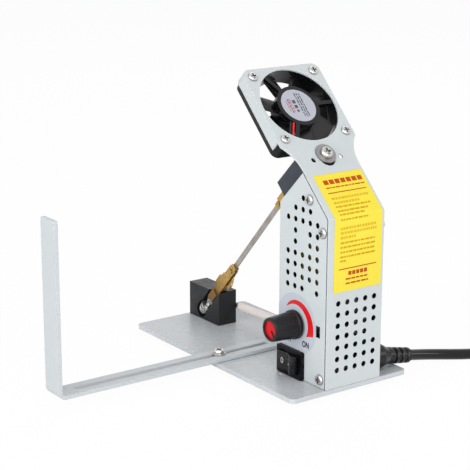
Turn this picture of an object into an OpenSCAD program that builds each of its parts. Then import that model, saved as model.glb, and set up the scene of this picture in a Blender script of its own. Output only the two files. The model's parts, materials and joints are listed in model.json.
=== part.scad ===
// Bench-top hot cutter for ribbon and webbing: a sheet-metal tower on a base plate holds one end of a
// heated strip, an insulating block at the other end of the plate holds the other end.
// Millimetres, +Z up, base standing on Z = 0, knob face towards -Y, tower at the +X end.

/* [Base plate] */
// length of the base plate along X
plate_len = 148.5; // [140:0.5:180]
// width of the base plate along Y
plate_wid = 77.5; // [70:0.5:100]
// thickness of the base plate
plate_t = 2.5; // [2:0.5:4]
// corner radius of the base plate
plate_r = 3; // [1:0.5:6]
// diameter of a rubber foot
foot_d = 11; // [8:0.5:14]
// height of a rubber foot
foot_h = 3; // [2.5:0.5:6]

/* [Tower] */
// length of the tower along X
house_w = 40.2; // [38:0.2:46]
// depth of the tower along Y
house_d = 36.4; // [36:0.2:44]
// distance of the knob face from the front edge of the plate
house_setback = 22; // [16:0.5:28]
// height of the cover's bend above the plate
bend_h = 91.1; // [86:0.1:100]
// height of the eave on the strip side above the plate
eave_h = 92.4; // [88:0.1:100]
// thickness of the tower's sheet
sheet_t = 1; // [0.8:0.1:1.2]
// diameter of a vent hole
vent_d = 3; // [2:0.1:3.6]
// spacing of the vent holes
vent_pitch = 6; // [5.5:0.1:6.2]
// diameter of the tower's pan-head screws
screw_d = 3; // [2.5:0.5:3]

/* [Fan bracket] */
// width of the bracket over its flanges
bracket_w = 50; // [48:0.5:54]
// slope distance from the ridge to the top of the bracket
bracket_rise = 65.16; // [62:0.01:72]
// sideways offset of the bracket from the tower's middle
bracket_shift = 0.5; // [0:0.1:1]
// radius of the flare between neck and bracket
flare_r = 22; // [18:1:26]
// depth of the bracket's side flanges
flange_depth = 7; // [5:0.5:9]
// thickness of the fan
fan_t = 10; // [10:1:15]
// spacing of the fan screws
fan_pitch = 40; // [38:0.5:41]
// bore of the fan frame
fan_bore = 45.6; // [44:0.2:46]
// diameter of the fan hub
hub_d = 25; // [22:0.5:27]
// number of fan vanes
vane_count = 7; // [5:1:9]

/* [Strip and its holders] */
// width of the heated strip
strip_w = 3.2; // [2.5:0.1:4]
// thickness of the heated strip
strip_t = 0.6; // [0.4:0.1:0.8]
// length of an insulating block
block_len = 30; // [28:0.5:33]
// wide side of an insulating block
block_wide = 20; // [19:0.5:22]
// narrow side of an insulating block
block_thin = 12.4; // [12:0.1:14]
// width of a brass clip
clip_w = 5.2; // [4.5:0.1:5.6]
// thickness of a brass clip
clip_t = 2.8; // [2.4:0.1:3.2]
// width of the groove in the lower block
groove_w = 7.3; // [6.5:0.1:7.6]
// diameter of the tension screw
tension_d = 4; // [3.5:0.5:4]

/* [Guide bar] */
// width of the guide bar
guide_w = 14; // [12:0.5:18]
// thickness of the guide bar
guide_t = 2; // [1.5:0.1:2.5]
// height of the guide's upright over the plate
guide_h = 93.5; // [70:0.5:110]
// reach of the upright in front of the plate
guide_reach = 97; // [80:1:110]
// distance of the bar's middle from the plate's strip-side end
guide_x = 75.3; // [72:0.1:80]
// length of the adjusting slot
slot_len = 124; // [110:1:130]
// width of the adjusting slot
slot_w = 3.6; // [3.6:0.1:4.4]

/* [Controls] */
// length of the switch bezel
bezel_len = 21; // [20:0.5:22]
// height of the switch bezel
bezel_high = 15; // [14.5:0.5:16]
// distance of the switch bezel from the tower's strip-side edge
bezel_edge = 1; // [0.6:0.1:2]
// diameter of the knob at its foot
knob_d = 15.6; // [14.6:0.2:16.4]
// diameter of the knob at its front
knob_front_d = 12.8; // [12.4:0.2:13.6]
// length of the knob
knob_len = 16.6; // [15:0.2:18]
// height of the knob's axis above the plate
knob_z = 29.4; // [28.5:0.1:31]
// distance of the knob's axis from the label face
knob_x = 25.5; // [25:0.1:27]

/* [Mains cord] */
// diameter of the mains cord
cord_d = 6; // [5:0.5:6]
// reach of the strain relief behind the tower
relief_reach = 29.9; // [27:0.1:32]
// diameter of the strain relief's collar
relief_d = 13.6; // [13:0.2:14]

/* [Hidden] */
$fn = 48;

// frame: middle of the plate in X, middle of guide and strain relief in Y
relief_droop = 10.3;
relief_tail_d = 6.65;
relief_tip = relief_tail_d / 2 * sin(relief_droop);
back_reach = max(plate_wid, house_setback + house_d + relief_reach + relief_tip);
plate_x0 = -plate_len / 2;
plate_x1 = plate_len / 2;
plate_y0 = round(50 * (guide_reach - back_reach)) / 100;
plate_y1 = plate_y0 + plate_wid;
top_z = foot_h + plate_t;
foot_inset = 12;
small_gap = 0.1;
free_gap = 0.3;

// tower walls
label_inset = 0.2;
house_x1 = plate_x1 - label_inset;
house_x0 = house_x1 - house_w;
house_y0 = plate_y0 + house_setback;
house_y1 = house_y0 + house_d;
mid_y = (house_y0 + house_y1) / 2;
inner_y0 = house_y0 + sheet_t;
inner_y1 = house_y1 - sheet_t;
bend_z = top_z + bend_h;
edge_step = 0.3;
apex_s = round(100 * (house_w + eave_h - bend_h) / sqrt(2)) / 100;
bracket_top = apex_s + bracket_rise;
bend_r = 2.4;
bend_cut = bend_r * tan(22.5);
sink = 0.02;
seam = 0.6;
tab_wide = 7.6;
tab_high = 9;
tab_deep = 10.2;
screw_clear = 0.2;
head_d = 1.85 * screw_d;
head_h = 0.5 * screw_d;
cover_screw_at = [[15.65, bend_h + 6.9], [4.55, bend_h - 8.2], [5.07, 4.6]];
back_screw_at = [[14.35, bend_h + 6.9], [3.25, bend_h - 8.2], [3.8, 20]];

// vents: rows counted downwards, columns counted from the strip side
front_vent_x = house_x1 - 33.16;
front_vent_z = top_z + bend_h + 0.76;
front_vents = [[0, 1], [0, 4], [0, 5], [0, 6], [0, 7], [1, 0], [1, 1], [1, 2], [1, 3], [1, 4], [1, 5],
               [1, 6], [1, 7], [2, -1], [2, 0], [2, 1], [2, 4], [2, 5], [2, 6], [2, 7], [3, 0], [3, 1],
               [3, 2], [3, 3], [3, 4], [3, 5], [3, 6], [4, 1], [4, 2], [4, 3], [4, 4], [4, 5], [4, 6],
               [4, 7]];
label_vent_y = mid_y - 2 * vent_pitch + 0.9;
label_vent_z = top_z + 45.67;
label_vent_rows = 6;
label_vent_columns = 4;
label_blank = [4, 3];
window_w = 3.4;
window_h = 6.3;
window_x = house_x1 - 7.4;
window_z = top_z + 29.85;

// sticker over the bend
sticker_t = 0.2;
sticker_y0 = house_y0 + 3.6;
sticker_y1 = inner_y1 - 0.4;
sticker_low = 51.7;
sticker_up = apex_s - 3.74;

// switch
bezel_t = 2;
bezel_x0 = house_x0 + bezel_edge;
bezel_z0 = top_z + 0.3;
switch_x = bezel_x0 + bezel_len / 2;
switch_z = bezel_z0 + bezel_high / 2;
switch_wall = 1;
switch_deep = 15;
well_len = bezel_len - 4.8;
well_high = bezel_high - 4.4;
well_deep = 7;
rocker_len = well_len - 1.6;
rocker_high = well_high - 0.8;
rocker_tilt = 10;
rocker_dip = 1.6;
rocker_rise = 3.4;
rocker_pivot_y = house_y0 + 0.5;
pivot_d = 2;
fit_gap = 0.05;
tab_w = 4.8;
tab_t = 0.8;
tab_len = 7;

// knob and potentiometer
knob_ax = house_x1 - knob_x;
knob_az = top_z + knob_z;
knob_gap = 0.8;
knob_foot = 2.4;
cap_d = 9.5;
cap_t = 1.5;
cap_recess = 0.8;
bush_d = 7;
bush_len = 5.5;
nut_flat = 10;
nut_t = 2;
shaft_d = 6;
pot_d = 16.4;
pot_t = 9;
dial_t = 0.15;
dial_d = 33;

// roof frame: x is Y of the world, y runs up the slope from the bend, z is the outward normal
fan_y = mid_y + bracket_shift;
fan_s = bracket_top - bracket_w / 2;
fan_w = bracket_w - 2 * sheet_t;
fan_corner = 4;
fan_hole = 46;
fan_screw_d = 3;
vane_t = 1;
vane_w = 15;
vane_tilt = 26;
hub_t = 2;
rotor_gap = 0.5;
strut_w = 2.2;
axle_d = 3;
tube_d = 6.4;
cup_h = 6.4;
stator_d = 17;
neck_s = apex_s + 0.66;
neck_wing = (bracket_w - house_d) / 2;
flare_h = sqrt(flare_r * flare_r - pow(flare_r - neck_wing - bracket_shift, 2));
flange_from = apex_s + 19.06;
bracket_corner = 4.5;
lead_d = 1.2;
lead_side = [-2.1, -3.8];
lead_turn = 240;
lead_hole_d = 3.8;

// tension screw, washer and upper block along the roof's normal
screw_s = apex_s + 7.96;
float_s = apex_s + 5.66;
float_d = 9.4;
pilot_d = 3;
pilot_y = 8.85;
washer_d = 11.6;
washer_t = 1;
upper_gap = 1.5;
tension_len = 22;

// strip frame: x runs up the strip, z is square to it, origin in the middle of the lower block
low_block_x0 = plate_x0 + 0.9;
low_block_x1 = low_block_x0 + block_len;
low_block_y0 = mid_y - 3.2;
strip_ox = low_block_x0 + block_len / 2 + 1.4;
strip_oz = top_z + block_wide / 2;
pin_s = screw_s + 3.94;
pin_deep = 28.12;
pin_at = [house_x1 - (pin_s + pin_deep) * sqrt(0.5), bend_z + (pin_s - pin_deep) * sqrt(0.5)];
pin_way = pin_at - [strip_ox, strip_oz];
pin_x = round(100 * norm(pin_way)) / 100;
strip_angle = round(100 * atan2(pin_way[1], pin_way[0])) / 100;
strip_low = 30;
strip_up = pin_x - 19;
nose_low = 38.8;
nose_up = pin_x - 25;
slit_t = strip_t + 0.4;
slit_low = 26;
slit_up = pin_x - 18;
upper_tail = pin_x + 5;
eye_w = 4.4;
eye_len = 8;
rivet_d = 1.6;
rivet_low = 34;
rivet_up = pin_x - 22;
rivet_slack = 1.2;
pin_d = 2.5;
groove_deep = 6.6;
pocket_w = 9;
pocket_from = -2;
pocket_end = -6.5;
bolt_d = 4;
bolt_head_d = 7.6;
bolt_head_h = 3;
bolt_len = 15;
nut_across = 5.5;
nut_high = 2.6;
clip_foot = [5.2, 12];

// sleeved lead between the lower block and the tower
sleeve_d = 4.8;
sleeve_y = low_block_y0 + block_thin + 2.1;
sleeve_z = top_z + 9.5;
sleeve_from = 1.2;
sleeve_rise = 2;
core_d = 2.6;
core_deep = 5;
core_back = 4;
grommet_d = 9;
grommet_t = 1.6;
sleeve_in = 7;
grommet_z = round(100 * (sleeve_z + (house_x0 - low_block_x1) * tan(sleeve_rise))) / 100;

// guide bar
bar_x = plate_x0 + guide_x;
bar_y0 = plate_y0 - guide_reach;
guide_bend = 2;
slot_y0 = bar_y0 + 12.6;
slot_y1 = slot_y0 + slot_len;
bar_end = 8.5;
bar_corner = 3;
clamp_y = plate_y0 + 6;
clamp_d = 3;
bar_z0 = top_z + small_gap;

// transformer and board inside the tower
core_w = 34;
core_h = eave_h - 56.4;
core_stack = 14;
core_leg = 11.6;
core_limb = 4.2;
core_z0 = top_z + 43;
core_x0 = house_x0 + sheet_t;
core_y0 = mid_y - 5.2;
coil_clear = 0.4;
coil_over = 5.5;
strap_t = 0.8;
strap_ear = 6;
strap_w = 10;
board_t = 1.6;
board_x0 = house_x0 + 2.4;
board_w = 35;
board_z0 = top_z + 16.5;
board_h = 24;
spacer_len = 4;
spacer_d = 6;
board_y1 = inner_y1 - spacer_len;
board_y0 = board_y1 - board_t;
board_holes = [[house_x1 - 15.5, top_z + 20], [house_x0 + 5.8, top_z + 37]];

// strain relief and cord
relief_x = house_x1 - 10;
relief_z = top_z + relief_d / 2 + 1.45;
relief_root = 1.2;
relief_flange = 2.4;
relief_collar = 6.4;
relief_cone = 5.4;
relief_len = (relief_reach - relief_root) / cos(relief_droop);
rib_d = 9.3;
rib_taper = 0.13;
rib_groove = 1.4;
rib_depth = 1.2;
rib_edge = 0.5;
rib_count = 4;
relief_end_len = 1.2;
rib_pitch = (relief_len - relief_collar - relief_cone - relief_end_len) / rib_count;
relief_neck_d = 10;
relief_fall = round(100 * (relief_reach - relief_root) * tan(relief_droop)) / 100;
relief_end = [relief_x, house_y1 + relief_reach, relief_z - relief_fall];
table_z = cord_d / 2 + 0.05;
relief_drop = relief_end[2] - table_z;

// coil on the table beside the object
tie_t = 0.8;
tie_w = 7;
coil_step = cord_d + 0.6;
coil_turns = 2.375;
coil_out = 41.25;
coil_in = coil_out - coil_step * coil_turns;
coil_z = cord_d / 2 + tie_t + free_gap;
coil_x = relief_x + 12.75 - coil_out;
coil_y = relief_end[1] + 134.7;
coil_start = [coil_x + coil_out, coil_y - 1.4 * cord_d, coil_z];
coil_end = [coil_x - 1.4 * cord_d, coil_y + coil_out, coil_z + coil_step];
tie_turn = 45;
rings = 24;

// free stretch from the strain relief to the coil: steps across, along, and part of the drop still left
lead_route = [[0, 0, 1], [0, 4, 0.867], [0, 8, 0.737], [0.5, 14, 0.556], [1.6, 20, 0.395], [3.5, 27, 0.235],
              [6, 34, 0.115], [8.6, 41, 0.035], [10.6, 48, 0], [11.9, 56, 0], [12.5, 66, 0], [12.75, 78, 0],
              [12.75, 92, 0.02], [12.75, 104, 0.07], [12.75, 114, 0.13]];
lead_points = concat(
    [for (p = lead_route) relief_end + [p[0], p[1], (p[2] - 1) * relief_drop]],
    [coil_start - [0, 2 * cord_d / 3, 0], coil_start]);

// free stretch from the coil to the plug on top of it: offsets from the coil's middle, heights over its end
plug_t = 13;
tail_route = [[-16.7, 40.4, 0], [-22.7, 38, 0.1], [-27.7, 34.1, 0.4], [-31.6, 29, 1.4], [-34.1, 23.1, 3.4],
              [-34.9, 16.75, 5.5], [-34.1, 10.4, 6.6], [-31.6, 4.5, 7], [-27.7, -0.6, 7.5],
              [-22.7, -4.5, 8.2], [-16.7, -6.9, 8.9], [-10.4, -7.75, 9.4]];
plug_at = [coil_x - 4, coil_y - 7.75, coil_end[2] + (cord_d + plug_t) / 2 + small_gap];
tail_points = concat(
    [coil_end, coil_end - [2, 0, 0]],
    [for (p = tail_route) [coil_x + p[0], coil_y + p[1], coil_end[2] + p[2]]],
    [plug_at]);

// plug
plug_w = 33;
plug_len = 30;
plug_neck = 11;
pin_pitch = 19;
plug_pin_d = 4;
plug_pin_len = 19;

// height of the wound tube over its turn, easing up one layer in the half turn where it reverses
function ease(f) = f <= 0 ? 0 : f >= 1 ? 1 : f * f * (3 - 2 * f);
// radius of the wound tube after a number of turns
function wound_r(t) =
    t <= coil_turns + 0.25 ? coil_out - coil_step * t
    : coil_out - coil_step * (2 * (coil_turns + 0.25) - t);
// point on the wound tube after a number of turns
function wound(t) = [
    coil_x + wound_r(t) * cos(360 * t),
    coil_y + wound_r(t) * sin(360 * t),
    coil_z + coil_step * ease((t - coil_turns) * 2)];
wound_total = 2 * coil_turns + 0.5;
wound_count = ceil(wound_total * rings);
coil_points = concat(
    [coil_start, coil_start + [0, 0.7 * cord_d, 0]],
    [for (i = [0 : wound_count]) wound(i * wound_total / wound_count)],
    [coil_end + [0.7 * cord_d, 0, 0], coil_end]);

// least distance between stretches of the wound tube that are more than half a turn apart
coil_gap = min([
    for (i = [0 : len(coil_points) - 1])
        for (j = [i + rings / 2 : 1 : len(coil_points) - 1])
            norm(coil_points[i] - coil_points[j])]) - cord_d;
echo(coil_gap = coil_gap);

// swept tube: unit direction at a point, two vectors square to it, rings and faces
function unit(v) = v / norm(v);
function along(p, i) =
    unit(i == 0 ? p[1] - p[0] : i == len(p) - 1 ? p[i] - p[i - 1] : unit(p[i + 1] - p[i]) + unit(p[i] - p[i - 1]));
function side_of(d) = unit(cross(d, abs(d[2]) > 0.9 ? [1, 0, 0] : [0, 0, 1]));

// tube of a given diameter along points
module tube(points, d, sides) {
    verts = [
        for (i = [0 : len(points) - 1])
            let (dir = along(points, i), a = side_of(dir), b = cross(dir, a))
                for (k = [0 : sides - 1])
                    points[i] + d / 2 * (cos(360 * k / sides) * a + sin(360 * k / sides) * b)];
    last = len(points) - 1;
    walls = [
        for (i = [0 : last - 1])
            for (k = [0 : sides - 1])
                for (half = [0, 1])
                    let (m = (k + 1) % sides, p = i * sides, q = (i + 1) * sides)
                        half == 0 ? [p + k, p + m, q + m] : [p + k, q + m, q + k]];
    caps = concat(
        [[for (k = [sides - 1 : -1 : 0]) k]],
        [[for (k = [0 : sides - 1]) last * sides + k]]);
    polyhedron(verts, concat(walls, caps));
}

// wall standing along X, drawn in X and Z, from y over a thickness
module wall_y(y, t) {
    translate([0, y + t, 0])
        rotate([90, 0, 0])
            linear_extrude(t)
                children();
}

// wall standing along Y, drawn in Y and Z, from x over a thickness
module wall_x(x, t) {
    translate([x, 0, 0])
        rotate([90, 0, 90])
            linear_extrude(t)
                children();
}

// frame of the sloping cover
module roof_frame() {
    translate([house_x1, 0, bend_z])
        rotate([0, 45, 0])
            rotate([0, 0, 90])
                children();
}

// frame of the heated strip
module strip_frame() {
    translate([strip_ox, mid_y, strip_oz])
        rotate([0, -strip_angle, 0])
            children();
}

// frame of a thing that points out of the knob face
module front_frame(x, z) {
    translate([x, house_y0, z])
        rotate([90, 0, 0])
            children();
}

// frame of a thing that points out of the back face
module back_frame(x, z) {
    translate([x, house_y1, z])
        rotate([-90, 0, 0])
            children();
}

// flat rectangle with rounded corners, middle at the origin
module round_rect(w, d, r) {
    square([w - 2 * r, d], center = true);
    square([w, d - 2 * r], center = true);
    for (x = [-1, 1]) {
        for (y = [-1, 1]) {
            translate([x * (w / 2 - r), y * (d / 2 - r)])
                circle(r);
        }
    }
}

// pan-head screw with a cross recess, head above Z = 0
module pan_screw(d, head, high, length) {
    difference() {
        union() {
            rotate_extrude()
                polygon([[0, 0], [head / 2, 0], [head / 2, 0.45 * high], [0.46 * head, 0.8 * high],
                         [0.4 * head, high], [0, high]]);
            translate([0, 0, -length])
                cylinder(h = length + high / 4, d = d);
        }
        for (a = [0, 90]) {
            rotate(a)
                translate([-0.31 * head, -0.09 * head, 0.35 * high])
                    cube([0.62 * head, 0.18 * head, high]);
        }
    }
}

// flat washer standing on Z = 0
module washer(outer, inner, t) {
    difference() {
        cylinder(h = t, d = outer);
        translate([0, 0, -t])
            cylinder(h = 3 * t, d = inner);
    }
}

// places of the screws that come up through the base plate
base_screw_at = [[house_x0 + 7, mid_y + 5], [house_x0 + 7, mid_y + 13], [house_x1 - 7, mid_y - 11],
                 [house_x1 - 7, mid_y + 5], [low_block_x0 + 5, low_block_y0 + block_thin / 2],
                 [low_block_x1 - 5, low_block_y0 + block_thin / 2]];
foot_at = [[plate_x0 + foot_inset, plate_y0 + foot_inset], [plate_x1 - foot_inset, plate_y0 + foot_inset],
           [plate_x0 + foot_inset, plate_y1 - foot_inset], [plate_x1 - foot_inset, plate_y1 - foot_inset]];
base_grip = 6;
hole_d = 2.4;
hole_at = [house_x1 - 33.1, house_y0 - 4.3];

// painted steel plate that carries everything
module base_plate() {
    color("lightgray")
        translate([0, 0, foot_h])
            linear_extrude(plate_t)
                difference() {
                    translate([0, (plate_y0 + plate_y1) / 2])
                        round_rect(plate_len, plate_wid, plate_r);
                    for (p = base_screw_at) {
                        translate(p)
                            circle(d = screw_d + screw_clear);
                    }
                    translate([bar_x, clamp_y])
                        circle(d = clamp_d + screw_clear);
                    translate(hole_at)
                        circle(d = hole_d);
                }
}

// four stuck-on feet
module rubber_feet() {
    color("dimgray")
        for (p = foot_at) {
            translate(p)
                rotate_extrude()
                    polygon([[0, 0], [0.42 * foot_d, 0], [foot_d / 2, 0.6 * foot_h], [foot_d / 2, foot_h],
                             [0, foot_h]]);
        }
}

// screws from below that hold the tower and the lower block
module base_screws() {
    color("silver")
        for (p = base_screw_at) {
            translate([p[0], p[1], foot_h])
                rotate([180, 0, 0])
                    pan_screw(screw_d, head_d, head_h, plate_t + base_grip / 2);
        }
}

// outline of a gabled side panel in X and Z
module gable_2d() {
    step = (sheet_t + seam) * sqrt(2);
    x1 = house_x1 - sheet_t - seam;
    ridge = (bend_z + house_x1 - step - (top_z + eave_h - house_x0)) / 2;
    polygon([[house_x0, top_z], [x1, top_z], [x1, bend_z + house_x1 - step - x1],
             [ridge, top_z + eave_h - house_x0 + ridge], [house_x0, top_z + eave_h]]);
}

// screw holes along the cover's edge, seen from the side
module cover_holes_2d(places, d) {
    for (p = places) {
        translate([house_x1 - p[0], top_z + p[1]])
            circle(d = d);
    }
}

// profile of the strip-side wall and its slope in X and Z
module wall_slope_2d() {
    step = edge_step * sqrt(2);
    eave_z = top_z + eave_h;
    ridge = (bend_z + house_x1 - step - (eave_z - house_x0)) / 2;
    end_x = ridge - 1.6;
    inset = sheet_t * tan(22.5);
    drop = sheet_t * sqrt(2);
    polygon([[house_x0, top_z], [house_x0 + sheet_t, top_z], [house_x0 + sheet_t, eave_z - inset],
             [end_x, eave_z + end_x - house_x0 - drop], [end_x, eave_z + end_x - house_x0],
             [house_x0, eave_z]]);
}

// folded sheet with knob face, strip-side wall, its slope, back face and a foot flange
module tower_shell() {
    color("gainsboro")
        difference() {
            union() {
                wall_y(house_y0, sheet_t)
                    difference() {
                        gable_2d();
                        cover_holes_2d(cover_screw_at, screw_d + screw_clear);
                        for (v = front_vents) {
                            translate([front_vent_x + v[0] * vent_pitch, front_vent_z - v[1] * vent_pitch])
                                circle(d = vent_d);
                        }
                        translate([window_x, window_z])
                            square([window_w, window_h], center = true);
                        translate([switch_x, switch_z])
                            square([bezel_len - 2, bezel_high - 2], center = true);
                        translate([knob_ax, knob_az])
                            circle(d = bush_d + screw_clear);
                    }
                wall_y(inner_y1, sheet_t)
                    difference() {
                        gable_2d();
                        cover_holes_2d(back_screw_at, screw_d + screw_clear);
                        for (p = board_holes) {
                            translate(p)
                                circle(d = screw_d + screw_clear);
                        }
                        translate([relief_x, relief_z])
                            circle(d = relief_neck_d + screw_clear);
                    }
                wall_y(inner_y0, inner_y1 - inner_y0)
                    wall_slope_2d();
                translate([house_x0 + sheet_t, mid_y + 1, top_z])
                    cube([11, inner_y1 - mid_y - 1, sheet_t]);
            }
            translate([house_x0 - 1, sleeve_y, grommet_z])
                rotate([0, 90, 0])
                    cylinder(h = sheet_t + 2, d = grommet_d - 2);
            for (z = strap_screw_z) {
                translate([house_x0 - 1, core_y0 + core_stack / 2, z])
                    rotate([0, 90, 0])
                        cylinder(h = sheet_t + 2, d = screw_d + screw_clear);
            }
            roof_frame()
                translate([inner_y0 + 3.25, apex_s + 2, -sheet_t - 1.6])
                    rotate([90, 0, 0])
                        cylinder(h = 6, d = lead_hole_d);
            for (p = [base_screw_at[0], base_screw_at[1]]) {
                translate([p[0], p[1], top_z - 1])
                    cylinder(h = sheet_t + 2, d = screw_d + screw_clear);
            }
        }
}

// outline of the cover beyond its bend, in the roof frame
module roof_2d() {
    shift = [bracket_shift - neck_wing, bracket_shift + neck_wing];
    translate([house_y0, bend_cut])
        square([house_d, fan_s - bend_cut]);
    for (side = [-1, 1]) {
        difference() {
            translate([mid_y + side * house_d / 2 + (side < 0 ? shift[0] : 0), neck_s])
                square([side < 0 ? -shift[0] : shift[1], fan_s - neck_s]);
            translate([mid_y + side * (house_d / 2 + flare_r), neck_s])
                circle(flare_r);
            translate([mid_y + side * (house_d / 2 + flare_r) - flare_r, neck_s - 1])
                square([2 * flare_r, 1]);
        }
    }
    translate([fan_y - bracket_w / 2, neck_s + flare_h])
        square([bracket_w, bracket_top - neck_s - flare_h - bracket_corner]);
    translate([fan_y - bracket_w / 2 + bracket_corner, fan_s])
        square([bracket_w - 2 * bracket_corner, bracket_top - fan_s]);
    for (side = [-1, 1]) {
        translate([fan_y + side * (bracket_w / 2 - bracket_corner), bracket_top - bracket_corner])
            circle(bracket_corner);
    }
}

// holes in the sloping part of the cover
module roof_holes_2d() {
    translate([fan_y, fan_s])
        circle(d = fan_hole);
    for (x = [-1, 1]) {
        for (y = [-1, 1]) {
            translate([fan_y + x * fan_pitch / 2, fan_s + y * fan_pitch / 2])
                circle(d = fan_screw_d + screw_clear);
        }
        translate([mid_y + x * pilot_y, float_s])
            circle(d = pilot_d);
    }
    translate([mid_y, float_s])
        circle(d = float_d);
}

// inward tabs of the cover around its screws, seen from the side
module tabs_2d(places) {
    difference() {
        for (p = places) {
            if (p[1] < bend_h)
                translate([house_x1 - tab_wide, top_z + p[1] - tab_high / 2])
                    square([tab_wide - sheet_t / 2, tab_high]);
            else
                translate([house_x1, bend_z])
                    rotate(135)
                        translate([(p[0] + p[1] - bend_h) * sqrt(0.5) - tab_high / 2, sheet_t / 2])
                            square([tab_high, tab_deep - sheet_t / 2]);
        }
        cover_holes_2d(places, screw_d + screw_clear / 2);
    }
}

// rounded bend between label face and slope, its ends sunk into both
module bend_2d(outer, inner) {
    over = 5;
    reach = 2 * outer;
    translate([house_x1 - bend_r, bend_z - bend_cut])
        intersection() {
            rotate(180)
                difference() {
                    circle(outer);
                    circle(inner);
                }
            polygon([[0, 0], [reach * cos(-over), reach * sin(-over)],
                     [reach * cos(45 + over), reach * sin(45 + over)]]);
        }
}

// folded cover: label face, slope, neck and fan bracket
module rear_cover() {
    color("gainsboro") {
        wall_x(house_x1 - sheet_t, sheet_t)
            difference() {
                translate([house_y0, top_z])
                    square([house_d, bend_h - bend_cut]);
                for (c = [0 : label_vent_columns]) {
                    for (r = [0 : label_vent_rows]) {
                        if ([c, r] != label_blank)
                            translate([label_vent_y + c * vent_pitch, label_vent_z - r * vent_pitch])
                                circle(d = vent_d);
                    }
                }
            }
        wall_y(house_y0 + sink, house_d - 2 * sink)
            bend_2d(bend_r - sink, bend_r - sheet_t + sink);
        roof_frame()
            translate([0, 0, -sheet_t])
                linear_extrude(sheet_t)
                    difference() {
                        roof_2d();
                        roof_holes_2d();
                    }
        roof_frame()
            for (side = [0, 1]) {
                translate([fan_y - bracket_w / 2 + side * (bracket_w - sheet_t), flange_from, -flange_depth])
                    cube([sheet_t, bracket_top - bracket_corner - flange_from, flange_depth - sheet_t / 2]);
                translate([fan_y, bracket_top - bracket_corner - sink, -flange_depth])
                    mirror([side, 0, 0])
                        translate([bracket_w / 2 - bracket_corner, 0, 0])
                            linear_extrude(flange_depth - sheet_t / 2)
                                intersection() {
                                    difference() {
                                        circle(bracket_corner);
                                        circle(bracket_corner - sheet_t);
                                    }
                                    square(bracket_corner);
                                }
            }
        wall_y(inner_y0, sheet_t)
            tabs_2d(cover_screw_at);
        wall_y(inner_y1 - sheet_t, sheet_t)
            tabs_2d(back_screw_at);
        translate([house_x1 - 12, inner_y0 + 3, top_z])
            linear_extrude(sheet_t)
                difference() {
                    square([12 - sheet_t / 2, mid_y + 9 - inner_y0 - 3]);
                    for (p = [base_screw_at[2], base_screw_at[3]]) {
                        translate([p[0] - house_x1 + 12, p[1] - inner_y0 - 3])
                            circle(d = screw_d + screw_clear);
                    }
                }
    }
}

// plain sticker that lies over the bend
module cover_sticker() {
    c = bend_cut;
    color("gold") {
        wall_x(house_x1, sticker_t)
            translate([sticker_y0, top_z + sticker_low])
                square([sticker_y1 - sticker_y0, bend_h - c - sticker_low]);
        wall_y(sticker_y0 + sink, sticker_y1 - sticker_y0 - 2 * sink)
            bend_2d(bend_r + sticker_t - sink, bend_r + sink);
        roof_frame()
            translate([sticker_y0, c, 0])
                cube([sticker_y1 - sticker_y0, sticker_up - c, sticker_t]);
    }
}

// six screws that hold the cover's tabs to the panels
module cover_screws() {
    color("silver")
        for (i = [0 : len(cover_screw_at) - 1]) {
            front_frame(house_x1 - cover_screw_at[i][0], top_z + cover_screw_at[i][1])
                pan_screw(screw_d, head_d, head_h, 5);
            back_frame(house_x1 - back_screw_at[i][0], top_z + back_screw_at[i][1])
                pan_screw(screw_d, head_d, head_h, 5);
        }
}

// thin printed plate behind the knob
module dial_plate() {
    color("lightsteelblue")
        front_frame(knob_ax, knob_az)
            linear_extrude(dial_t)
                difference() {
                    intersection() {
                        circle(d = dial_d);
                        translate([house_x0 - knob_ax, bezel_z0 + bezel_high + 0.2 - knob_az])
                            square([dial_d / 2 + knob_ax - house_x0, dial_d]);
                    }
                    circle(d = bush_d + screw_clear);
                }
}

// switch with its bezel, well and clip-in body
module switch_body() {
    color("black")
        difference() {
            union() {
                front_frame(switch_x, switch_z)
                    linear_extrude(bezel_t)
                        round_rect(bezel_len, bezel_high, 0.8);
                front_frame(switch_x, switch_z)
                    translate([0, 0, -switch_deep])
                        linear_extrude(switch_deep)
                            square([bezel_len - 2, bezel_high - 2], center = true);
            }
            front_frame(switch_x, switch_z)
                translate([0, 0, -well_deep])
                    linear_extrude(well_deep + bezel_t + 1)
                        square([well_len, well_high], center = true);
            translate([switch_x, rocker_pivot_y, switch_z])
                cylinder(h = well_high + 2, d = pivot_d + 2 * fit_gap, center = true);
        }
}

// rocker pressed in on the strip side
module switch_rocker() {
    a = rocker_len / 2;
    color("black")
        translate([switch_x, rocker_pivot_y, switch_z])
            rotate(-rocker_tilt) {
                linear_extrude(rocker_high, center = true)
                    polygon([[-a, -rocker_rise], [0, -rocker_dip], [a, -rocker_rise], [a, -0.5], [a - 3, 3.5],
                             [3 - a, 3.5], [-a, -0.5]]);
                cylinder(h = well_high + 1.4, d = pivot_d, center = true);
            }
}

// solder tabs behind the switch
module switch_tabs() {
    color("silver")
        for (x = [-5, 5]) {
            translate([switch_x + x - tab_t / 2, house_y0 + switch_deep, switch_z - tab_w / 2])
                cube([tab_t, tab_len, tab_w]);
        }
}

// potentiometer body with its threaded bush
module pot_body() {
    color("silver")
        front_frame(knob_ax, knob_az)
            difference() {
                union() {
                    translate([0, 0, -sheet_t - pot_t])
                        cylinder(h = pot_t, d = pot_d);
                    translate([0, 0, -sheet_t - 1])
                        cylinder(h = bush_len + sheet_t + 1, d = bush_d);
                    translate([-pot_d / 2, -pot_d / 2 - 4.5, -sheet_t - 3.5])
                        cube([pot_d, 9, 1.5]);
                }
                translate([0, 0, -sheet_t - pot_t + 2])
                    cylinder(h = bush_len + pot_t + 2, d = shaft_d + 2 * fit_gap);
            }
}

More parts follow.
